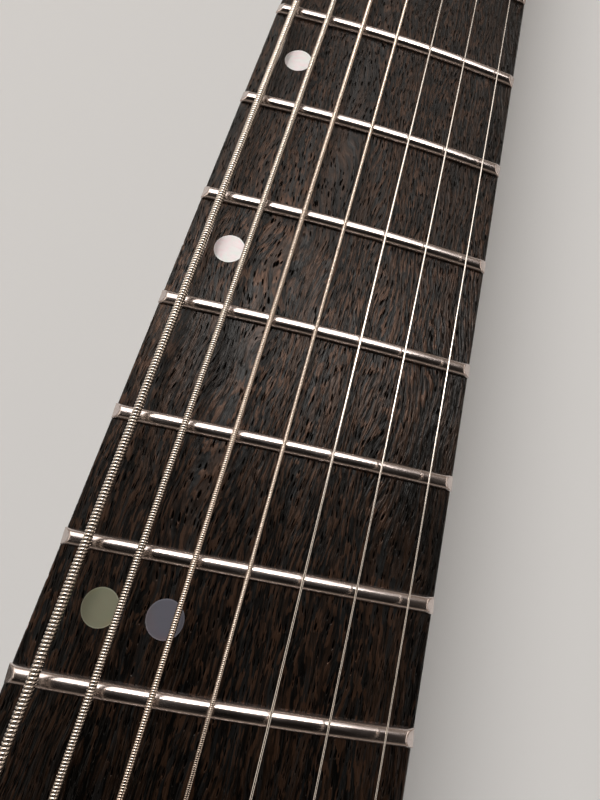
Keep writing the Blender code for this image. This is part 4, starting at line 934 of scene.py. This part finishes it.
def winding_tree():
    """Tree that wraps a helical skin of round wire along a path.

    A grid is rolled round the path. Each turn of the wire has a group of rows over its round
    back, and every row climbs by one pitch on its way round.
    """
    floats = [(label, "Float") for label in ("Length", "Radius", "Pitch", "Depth")]
    counts = [(label, "Int") for label in ("Wrap Rows", "Rows", "Sides")]
    t = Tree("round_winding", (*floats, *counts, ("Finish", "Material")))
    rows, per_wrap = t.given("Rows"), t.given("Wrap Rows")
    length, pitch = t.given("Length"), t.given("Pitch")
    size = {"Size X": 1.0, "Size Y": 1.0, "Vertices X": rows, "Vertices Y": t.plus(t.given("Sides"), 1.0)}
    grid = t.step("MeshGrid", size)
    spot = t.node("SeparateXYZ", {0: t.step("InputPosition")}).outputs
    last = t.minus(rows, 1.0)
    row = t.calc("ROUND", t.times(t.plus(spot[0], 0.5), last))
    around = t.plus(spot[1], 0.5)
    wrap = t.calc("FLOOR", t.calc("DIVIDE", row, per_wrap))
    phase = t.minus(row, t.times(wrap, per_wrap))
    inner = t.minus(per_wrap, 2.0)
    along = t.times(t.minus(phase, t.calc("DIVIDE", inner, 2.0)), t.calc("DIVIDE", WRAP_CROWN, inner))
    along = t.calc("MINIMUM", along, 0.5)
    reach = t.times(t.plus(t.plus(t.minus(wrap, 1.0), around), along), pitch)
    reach = t.calc("MINIMUM", t.calc("MAXIMUM", reach, 0.0), length)
    crown = t.calc("MAXIMUM", t.minus(0.25, t.times(along, along)), VALLEY_SHARE * VALLEY_SHARE)
    share = t.minus(0.5, t.calc("SQRT", crown))
    radius = t.minus(t.given("Radius"), t.times(t.times(share, pitch), t.given("Depth")))
    at_start = t.calc("LESS_THAN", reach, WELD / 10)
    at_end = t.calc("GREATER_THAN", reach, t.minus(length, WELD / 10))
    core = t.times_plus(t.times(pitch, t.given("Depth")), VALLEY_SHARE - 0.5, t.given("Radius"))
    radius = t.plus(radius, t.times(t.calc("MAXIMUM", at_start, at_end), t.minus(core, radius)))
    first = t.calc("LESS_THAN", row, 0.5)
    final = t.calc("GREATER_THAN", row, t.minus(last, 0.5))
    radius = t.times(radius, t.minus(1.0, t.calc("MAXIMUM", first, final)))
    values = {"Curves": t.given("Geometry"), "Length": reach}
    path = t.add("GeometryNodeSampleCurve", values, mode="LENGTH", use_all_curves=True).outputs
    angle = t.times(around, 2 * math.pi)
    side = t.vector("CROSS_PRODUCT", path["Tangent"], path["Normal"])
    out = t.vector("SCALE", path["Normal"], scale=t.calc("COSINE", angle))
    out = t.vector("ADD", out, t.vector("SCALE", side, scale=t.calc("SINE", angle)))
    place = t.vector("ADD", path["Position"], t.vector("SCALE", out, scale=radius))
    # The groove depth is stored for the material, which paints shade into the grooves with it.
    values = {"Geometry": grid, "Name": "groove", "Value": t.calc("DIVIDE", share, 0.5 - VALLEY_SHARE)}
    marked = t.step("StoreNamedAttribute", values, data_type="FLOAT", domain="POINT")
    moved = t.step("SetPosition", {"Geometry": marked, "Position": place})
    return t.finish(t.step("MergeByDistance", {"Geometry": moved, "Distance": WELD}))


def plain_tree():
    """Tree that draws a plain round wire along a path."""
    t = Tree("plain_wire", (("Radius", "Float"), ("Sides", "Int"), ("Finish", "Material")))
    size = {"Resolution": t.given("Sides"), "Radius": t.given("Radius")}
    ring = t.step("CurvePrimitiveCircle", size, mode="RADIUS")
    values = {"Curve": t.given("Geometry"), "Profile Curve": ring, "Fill Caps": True}
    return t.finish(t.step("CurveToMesh", values))


def path_curve(name, points):
    """A path as an open polyline curve."""
    curve = bpy.data.curves.new(name, "CURVE")
    curve.dimensions = "3D"
    spline = curve.splines.new("POLY")
    spline.points.add(len(points) - 1)
    for target, spot in zip(spline.points, points):
        target.co = (*spot, 1)
    return curve


def string_slot(index):
    """Material slot of a string, wound or plain."""
    return "wound_strings" if index < len(WRAP_PITCHES) else "plain_strings"


def make_strings():
    """Wound and plain strings along their routes."""
    trees = {"wound_strings": winding_tree(), "plain_strings": plain_tree()}
    for index, diameter in enumerate(STRING_DIAMETERS):
        name, slot = f"string_{index + 1}_wire", string_slot(index)
        points = string_route(index)
        length = sum((b - a).length for a, b in zip(points, points[1:]))
        values = {"Radius": diameter / 2, "Sides": PLAIN_SIDES, "Finish": PLAIN_METAL}
        if slot == "wound_strings":
            pitch, rows = WRAP_PITCHES[index], WRAP_ROWS[index]
            values["Sides"] = WRAP_SIDES[index]
            values["Finish"] = WOUND_METAL if index < THICK_WOUND else FINE_WOUND_METAL
            values["Length"], values["Pitch"] = length, pitch
            values["Depth"], values["Wrap Rows"] = WRAP_DEPTHS[index], rows
            values["Rows"] = rows * (math.ceil(length / pitch) + SPARE_WRAPS)
        mesh = run_tree(name, path_curve(f"path_{index + 1}", points), trees[slot], values)
        outward(mesh)
        add_piece(name, mesh, None, (f"string_{index + 1}",))


def make_balls():
    """Brass ball that anchors each string behind the bridge's wall."""
    half = BALL_LENGTH / 2
    rim = [(BALL_EASE, 0), (BALL_EASE * 0.3, BALL_EASE * 0.3), (0, BALL_EASE)]
    profile = [(0, -half)] + [(BALL_RADIUS - cut, -half + rise) for cut, rise in rim]
    profile += [(BALL_RADIUS * 0.93, 0)]
    profile += [(BALL_RADIUS - cut, half - rise) for cut, rise in rim[::-1]] + [(0, half)]
    groups = {"wound_strings": [], "plain_strings": []}
    for index in range(STRING_COUNT):
        place = facing(string_route(index)[0], (0, 1, 0))
        groups[string_slot(index)].append(turned("ball", profile, place, 32, 50))
    for slot, meshes in groups.items():
        add_piece(slot + "_balls", joined(slot + "_balls", meshes), BALL_BRASS)


def make_posts():
    """Tuner posts with their gears, and the nut and washer round each sleeve."""
    top = HEAD_FACE + POST_RISE
    low, high = HEAD_FACE + WIND_HEIGHT - WAIST_BELOW_STRING, top - WAIST_BELOW_TOP
    profile = [
        (0, GEAR_TOP - 0.0004), (POST_RADIUS, GEAR_TOP - 0.0004), (POST_RADIUS, low - 0.0002),
        (POST_RADIUS - 0.0001, low + 0.0001), (POST_WAIST, low + 0.0008), (POST_WAIST, high),
        (POST_RADIUS - 0.0001, high + 0.0007), (POST_RADIUS, high + 0.0010), (POST_RADIUS, top - 0.0009),
        (POST_RADIUS - 0.0002, top - 0.0003), (POST_RADIUS - 0.0006, top), (POST_RADIUS - 0.0013, top),
        (POST_RADIUS - 0.0016, top - 0.0004), (0, top - 0.0005),
    ]
    rim = waved(GEAR_RADIUS, TOOTH_DEPTH, GEAR_TEETH)
    gear = [(0, GEAR_FOOT), (rim, GEAR_FOOT), (rim, GEAR_TOP), (0, GEAR_TOP)]
    bore, nut = SLEEVE_RADIUS + RING_PLAY, hexagon(POST_NUT)
    ring = [
        (bore, FACE_LIFT), (WASHER_RADIUS, FACE_LIFT), (WASHER_RADIUS, WASHER_HEIGHT - 0.0002),
        (WASHER_RADIUS - 0.0003, WASHER_HEIGHT), (nut, WASHER_HEIGHT), (nut, POST_NUT_HEIGHT - 0.0005),
        (POST_NUT - 0.0001, POST_NUT_HEIGHT), (bore + 0.0003, POST_NUT_HEIGHT),
        (bore, POST_NUT_HEIGHT - 0.0003),
    ]
    nuts = []
    for index in range(STRING_COUNT):
        place = at((*post_place(index), 0))
        meshes = [turned("post", profile, place, 40), turned("gear", gear, place, GEAR_TEETH * 6)]
        node = f"tuner_post_{index + 1}"
        add_piece(node + "_piece", joined(node, meshes), POST_METAL, (node,), node)
        face = at((*post_place(index), HEAD_FACE))
        nuts.append(turned("nut", ring, face, 48, 28, True))
    add_piece("tuner_nuts", joined("tuner_nuts", nuts), HARDWARE_BLACK)


def make_keys():
    """Tuner keys: worm, shaft, collar and a rounded button."""
    wall = HOUSING_OUT + CLEAR
    shaft = []
    for i in range(6):
        shaft.append((-WORM_REACH + WORM_REACH / 3 * i, WORM_RADIUS * (RIB_VALLEY if i % 2 else 1.0)))
    shaft += [
        (WORM_REACH, WORM_RADIUS), (wall, WORM_RADIUS), (wall, COLLAR_RADIUS - 0.0001),
        (wall + 0.0002, COLLAR_RADIUS), (wall + 0.0012, COLLAR_RADIUS),
        (wall + 0.0014, COLLAR_RADIUS - 0.0001), (wall + 0.0018, COLLAR_NECK),
    ]
    rings = [(out, radius, radius) for out, radius in shaft]
    button = (
        (0.00, 0.22, 0.50), (0.05, 0.50, 0.68), (0.14, 0.72, 0.86), (0.38, 0.98, 1.00),
        (0.68, 0.97, 0.96), (0.90, 0.78, 0.76), (0.98, 0.56, 0.52), (1.00, 0.40, 0.34),
    )
    start = HEAD_EDGE + KEY_NECK
    for share, tall, flat in flowing(button, 4):
        out = start + BUTTON_LENGTH * share
        rings.append((out, BUTTON_WIDTH / 2 * tall, BUTTON_THICKNESS / 2 * flat))
    for index in range(STRING_COUNT):
        centre = post_place(index) + ROW_DIRECTION * MESH_DISTANCE
        loops = []
        for out, tall, flat in rings:
            loop = []
            for angle in angles(40):
                spot = centre + ROW_DIRECTION * (flat * math.cos(angle)) + KEY_DIRECTION * out
                loop.append((*spot, KEY_Z + tall * math.sin(angle)))
            loops.append(loop)
        node = f"tuner_key_{index + 1}"
        add_piece(node + "_piece", lofted(node, loops, 40), HARDWARE_BLACK, (node,), node)


def make_knobs():
    """Knurled knobs with a dished top and a pale pointer."""
    base = BODY_TOP + KNOB_LIFT
    top = base + KNOB_HEIGHT
    hollow = BODY_TOP + BUSH_RISE + KNOB_GAP
    inner, rim = KNOB_RADIUS - KNOB_WALL, waved(KNOB_RADIUS - 0.0002, KNURL, 48)
    profile = [
        (0, SHAFT_FOOT), (SHAFT_RADIUS, SHAFT_FOOT), (SHAFT_RADIUS, hollow), (inner, hollow), (inner, base),
        (KNOB_RADIUS - 0.0003, base), (KNOB_RADIUS, base + 0.0003), (KNOB_RADIUS, base + 0.0018),
        (KNOB_RADIUS - 0.0003, base + 0.0021), (rim, base + 0.0024), (rim, top - 0.0020),
        (KNOB_RADIUS - 0.0006, top - 0.0016), (KNOB_RADIUS - 0.0008, top - 0.0008),
        (KNOB_RADIUS - 0.0013, top - 0.0002), (KNOB_RADIUS - 0.0019, top),
        (KNOB_RADIUS - 0.0026, top - 0.0003), (0, top - 0.0004),
    ]
    for node, (x, y) in (("volume_knob", VOLUME_PLACE), ("tone_knob", TONE_PLACE)):
        mesh = turned(node, profile, at((x, y, 0)), 288, 40)
        add_piece(node + "_piece", mesh, HARDWARE_BLACK, (node,), node)
        line = bmesh.new()
        bmesh.ops.create_cube(line, size=1.0)
        place = at((x, y + POINTER_OUT, top - 0.0005)) @ Matrix.Diagonal((*POINTER_SIZE, 1))
        bmesh.ops.transform(line, matrix=place, verts=line.verts)
        name = node + "_pointer"
        add_piece(name, mesh_of(name, line), POINTER_WHITE, (), node)


def make_switch():
    """Selector lever on its ball, and the ring nut round the switch's bush."""
    node, place = "selector_lever", (*SWITCH_PLACE, LEVER_PIVOT)
    ball = [math.radians(degrees) for degrees in range(-75, 61, 15)]
    profile = [(0, -LEVER_BALL)]
    profile += [(LEVER_BALL * math.cos(angle), LEVER_BALL * math.sin(angle)) for angle in ball]
    profile += [(LEVER_RADIUS, LEVER_BALL * 0.95), (LEVER_RADIUS, LEVER_LENGTH - 0.0090)]
    tip = ((-1, 0.55), (-0.86, 0.78), (-0.5, 0.95), (0, 1), (0.5, 0.9), (0.8, 0.68), (0.95, 0.4))
    for share, reach in tip:
        profile.append((LEVER_TIP * reach, LEVER_LENGTH - TIP_HALF + TIP_HALF * share))
    profile.append((0, LEVER_LENGTH))
    mesh = turned(node, profile, at(place), 40, 40)
    add_piece(node + "_piece", mesh, HARDWARE_BLACK, (node,), node)
    bore, rim = SWITCH_BUSH + RING_PLAY, waved(SWITCH_NUT, KNURL, 30)
    ring = [
        (bore, FACE_LIFT), (SWITCH_NUT - 0.0002, FACE_LIFT), (rim, 0.0003),
        (rim, SWITCH_NUT_HEIGHT - 0.0006), (SWITCH_NUT - 0.0008, SWITCH_NUT_HEIGHT),
        (bore + 0.0003, SWITCH_NUT_HEIGHT), (bore, SWITCH_NUT_HEIGHT - 0.0003),
    ]
    mesh = turned("switch_nut", ring, at((*SWITCH_PLACE, BODY_TOP)), 180, 35, True)
    add_piece("switch_nut", mesh, HARDWARE_BLACK)


def make_screws():
    """Screw heads on the saddles, the bridge, the cover and the jack, and a ring for its socket."""
    saddles, plate, cover, jack = [], [], [], []
    for index, diameter in enumerate(STRING_DIAMETERS):
        crossing = string_point(index, 1)
        crest = crossing.z - diameter / 2 - CLEAR
        drop = (crest - PLATE_TOP) * SADDLE_FALL + SADDLE_STEP
        slope = drop / (SADDLE_BACK - SADDLE_CREST)
        height = crest - SADDLE_SCREW_SINK - slope * (SADDLE_SCREW_BACK - SADDLE_CREST)
        for side in (-1, 1):
            x = crossing.x + side * SADDLE_SCREW_OUT
            spot = (x, fan_y(crossing.x, 1) - SADDLE_SCREW_BACK, height)
            saddles.append(screw(at(spot), *SADDLE_SCREW))
    outer, middle = BRIDGE_SCREW_OUT, BRIDGE_SCREW_IN
    rear = -(SADDLE_BACK + WALL_FROM) / 2
    places = [(x, rear) for x in (-outer, -middle, middle, outer)]
    for x, ahead in places + [(-outer, BRIDGE_SCREW_AHEAD), (outer, BRIDGE_SCREW_AHEAD)]:
        plate.append(screw(at((x, fan_y(x, 1) + ahead, PLATE_TOP)), *BRIDGE_SCREW))
    for across, along in ((-1, -1), (-1, 1), (1, -1), (1, 1), (-1, 0), (1, 0)):
        inset = COVER_SCREW_INSET if along else COVER_SCREW_SIDE
        x = COVER_CENTRE[0] + across * (COVER_SIZE[0] / 2 - inset)
        y = COVER_CENTRE[1] + along * (COVER_SIZE[1] / 2 - COVER_SCREW_INSET)
        cover.append(screw(facing((x, y, CLEAR), (0, 0, -1)), *COVER_SCREW))
    face = JACK_AXIS[0] - JACK_RECESS + CLEAR + JACK_PLATE
    for side in (-1, 1):
        spot = (face, JACK_AXIS[1] + side * JACK_SCREW_OUT, JACK_AXIS[2])
        jack.append(screw(facing(spot, (1, 0, 0)), *JACK_SCREW))
    bore, flange, height = FERRULE
    ring = [
        (bore, FACE_LIFT), (flange, FACE_LIFT), (flange, height - 0.0002), (flange - 0.0003, height),
        (bore + 0.0002, height), (bore, height - 0.0002),
    ]
    jack.append(turned("ferrule", ring, facing((face, *JACK_AXIS[1:]), (1, 0, 0)), hoop=True))
    for name, meshes, slot in (
        ("saddle_screws", saddles, "black_hardware"),
        ("bridge_screws", plate, "black_hardware"),
        ("cover_screws", cover, "control_cover"),
        ("jack_screws", jack, "output_jack"),
    ):
        add_piece(name, joined(name, meshes), SCREW_STEEL)


def make_strap_buttons():
    """Strap buttons with a socket screw through each."""
    socket = hexagon(STRAP_SOCKET)
    tall = STRAP_LENGTH + CLEAR
    foot = ((0.72, 0), (0.72, 0.0012), (0.66, 0.0018), (0.54, 0.0030), (0.50, 0.0045))
    head = ((0.50, 0.0055), (0.56, 0.0042), (0.72, 0.0030), (0.92, 0.0021), (1, 0.0012), (1, 0.0004))
    face = ((0.92, 0.0001), (0.55, 0.0001), (0.52, 0.0005), (0.49, 0.0005), (0.46, 0))
    profile = [(0, -STRAP_SCREW_LENGTH), (STRAP_SCREW, -STRAP_SCREW_LENGTH + 0.002), (STRAP_SCREW, CLEAR)]
    profile += [(STRAP_RADIUS * share, CLEAR + rise) for share, rise in foot]
    profile += [(STRAP_RADIUS * share, STRAP_LENGTH - drop) for share, drop in head]
    profile += [(STRAP_RADIUS * share, tall - drop) for share, drop in face]
    profile += [(socket, tall), (socket, tall - STRAP_SOCKET_DEPTH), (0, tall - STRAP_SOCKET_DEPTH)]
    for node, (spot, direction) in STRAP_PLACES.items():
        mesh = turned(node, profile, facing(spot, direction))
        add_piece(node + "_piece", mesh, HARDWARE_BLACK, (node,))


def solid_copy(node, finish, degrees, round_off):
    """A merged copy of a solid, smooth where it curves, that stands for the node."""
    shape = bmesh.new()
    shape.from_mesh(NODES[node].data)
    bmesh.ops.remove_doubles(shape, verts=shape.verts, dist=COPY_WELD)
    flat = math.radians(COPY_FLAT)
    bmesh.ops.dissolve_limit(shape, angle_limit=flat, verts=shape.verts, edges=shape.edges)
    mesh = mesh_of(node + "_skin", shape)
    shade_by_angle(mesh, degrees)
    item = new_object(node + "_skin", mesh)
    if round_off:
        soft = item.modifiers.new("soft_edges", "BEVEL")
        soft.width = round_off
        soft.segments = 2
        soft.limit_method = "ANGLE"
        soft.angle_limit = math.radians(COPY_EDGE)
        soft.harden_normals = False
    even = item.modifiers.new("even_normals", "WEIGHTED_NORMAL")
    even.keep_sharp = not round_off
    even.weight = 100
    return add_piece(node + "_piece", worked_mesh(item), finish, (node,))


def make_copies():
    """Pieces that are softened copies of their solids. The control board's parts are metal."""
    for node, finish, slot, degrees, round_off in (
        ("body", LACQUER, "body_lacquer", 25, 0.0),
        ("neck", NECK_WOOD, "neck_wood", 30, 0.0),
        ("nut", NUT_BLACK, "nut", 30, 0.00025),
        ("tuner_plate", HARDWARE_BLACK, "black_hardware", 30, 0.00025),
        ("bridge", HARDWARE_BLACK, "black_hardware", 30, 0.0004),
        ("neck_pickup", COVER_BLACK, "pickup_covers", 30, 0.0004),
        ("bridge_pickup", COVER_BLACK, "pickup_covers", 30, 0.0004),
        ("control_board", CIRCUIT_GREEN, "control_board", 30, 0.0),
        ("control_cover", COVER_BLACK, "control_cover", 30, 0.0004),
        ("output_jack", HARDWARE_BLACK, "output_jack", 30, 0.0),
        ("truss_rod", POST_METAL, "truss_rod", 30, 0.0),
    ):
        piece = solid_copy(node, finish, degrees, round_off)
        if node == "control_board":
            piece.data.materials.append(POST_METAL)
            floor = min(corner.co.z for corner in piece.data.vertices)
            for face in piece.data.polygons:
                if face.center.z > floor + METAL_FROM:
                    face.material_index = 1


def make_stage():
    """Plain pale floor."""
    shape = bmesh.new()
    corners = [(x * FLOOR_REACH, y * FLOOR_REACH, 0) for x, y in ((-1, -1), (1, -1), (1, 1), (-1, 1))]
    shape.faces.new([shape.verts.new(corner) for corner in corners])
    floor = new_object("floor", mesh_of("floor", shape))
    floor.data.materials.append(floor_finish("studio_floor"))


def add_lamp(name, kind, power, colour, direction, place=(0, 0, 0)):
    """A lamp that shines in a direction."""
    data = bpy.data.lights.new(name, kind)
    data.energy = power
    data.color = colour
    lamp = new_object(name, data)
    lamp.location = place
    lamp.rotation_euler = Vector(direction).to_track_quat("-Z", "Y").to_euler()
    return lamp


def make_light():
    """An even soft light from above, with panels that give the highlights, and a dark zenith."""
    for name, place, target, size, power, colour in PANELS:
        panel = add_lamp(name, "AREA", power, colour, Vector(target) - Vector(place), place)
        panel.data.shape = "RECTANGLE"
        panel.data.size, panel.data.size_y = size
        panel.visible_diffuse = False
    fill = add_lamp("fill", "SUN", FILL_POWER, FILL_COLOUR, FILL_DIRECTION)
    fill.data.angle = math.radians(FILL_SPREAD)
    fill.visible_glossy = False
    world = bpy.data.worlds.new("studio")
    bpy.context.scene.world = world
    world.use_nodes = True
    w = Nodes(world.node_tree)
    _, y, z = w.node("SeparateXYZ", {0: w.node("TexCoord").outputs["Generated"]}).outputs
    ceiling = w.times(w.span(z, 0.74, 0.92, 0.17, 0.015), w.span(y, -0.5, 0.2, 0.05, 1.0))
    horizon = w.span(z, 0.20, 0.55, 0.27, 0.0)
    backdrop = w.tree.nodes["Background"].inputs
    w.put(backdrop["Color"], rgb(*WORLD_COLOUR))
    w.put(backdrop["Strength"], w.calc("MAXIMUM", ceiling, horizon))


def make_camera():
    """Camera that looks along the board towards the nut."""
    up = -(CAMERA_DOWN - CAMERA_RIGHT * CAMERA_DOWN.dot(CAMERA_RIGHT)).normalized()
    turn = Matrix((CAMERA_RIGHT, up, CAMERA_RIGHT.cross(up))).transposed().to_4x4()
    data = bpy.data.cameras.new("camera")
    data.lens = LENS_LENGTH
    data.sensor_width = SENSOR_WIDTH
    data.clip_start = NEAR_LIMIT
    camera = new_object("camera", data)
    camera.matrix_world = at(CAMERA_PLACE) @ turn
    bpy.context.scene.camera = camera


make_board()
make_frets()
make_dots()
make_strings()
make_side_dots()
make_balls()
make_posts()
make_keys()
make_knobs()
make_switch()
make_screws()
make_strap_buttons()
make_copies()
make_stage()
make_light()
make_camera()
bpy.context.scene.view_settings.view_transform = "Standard"
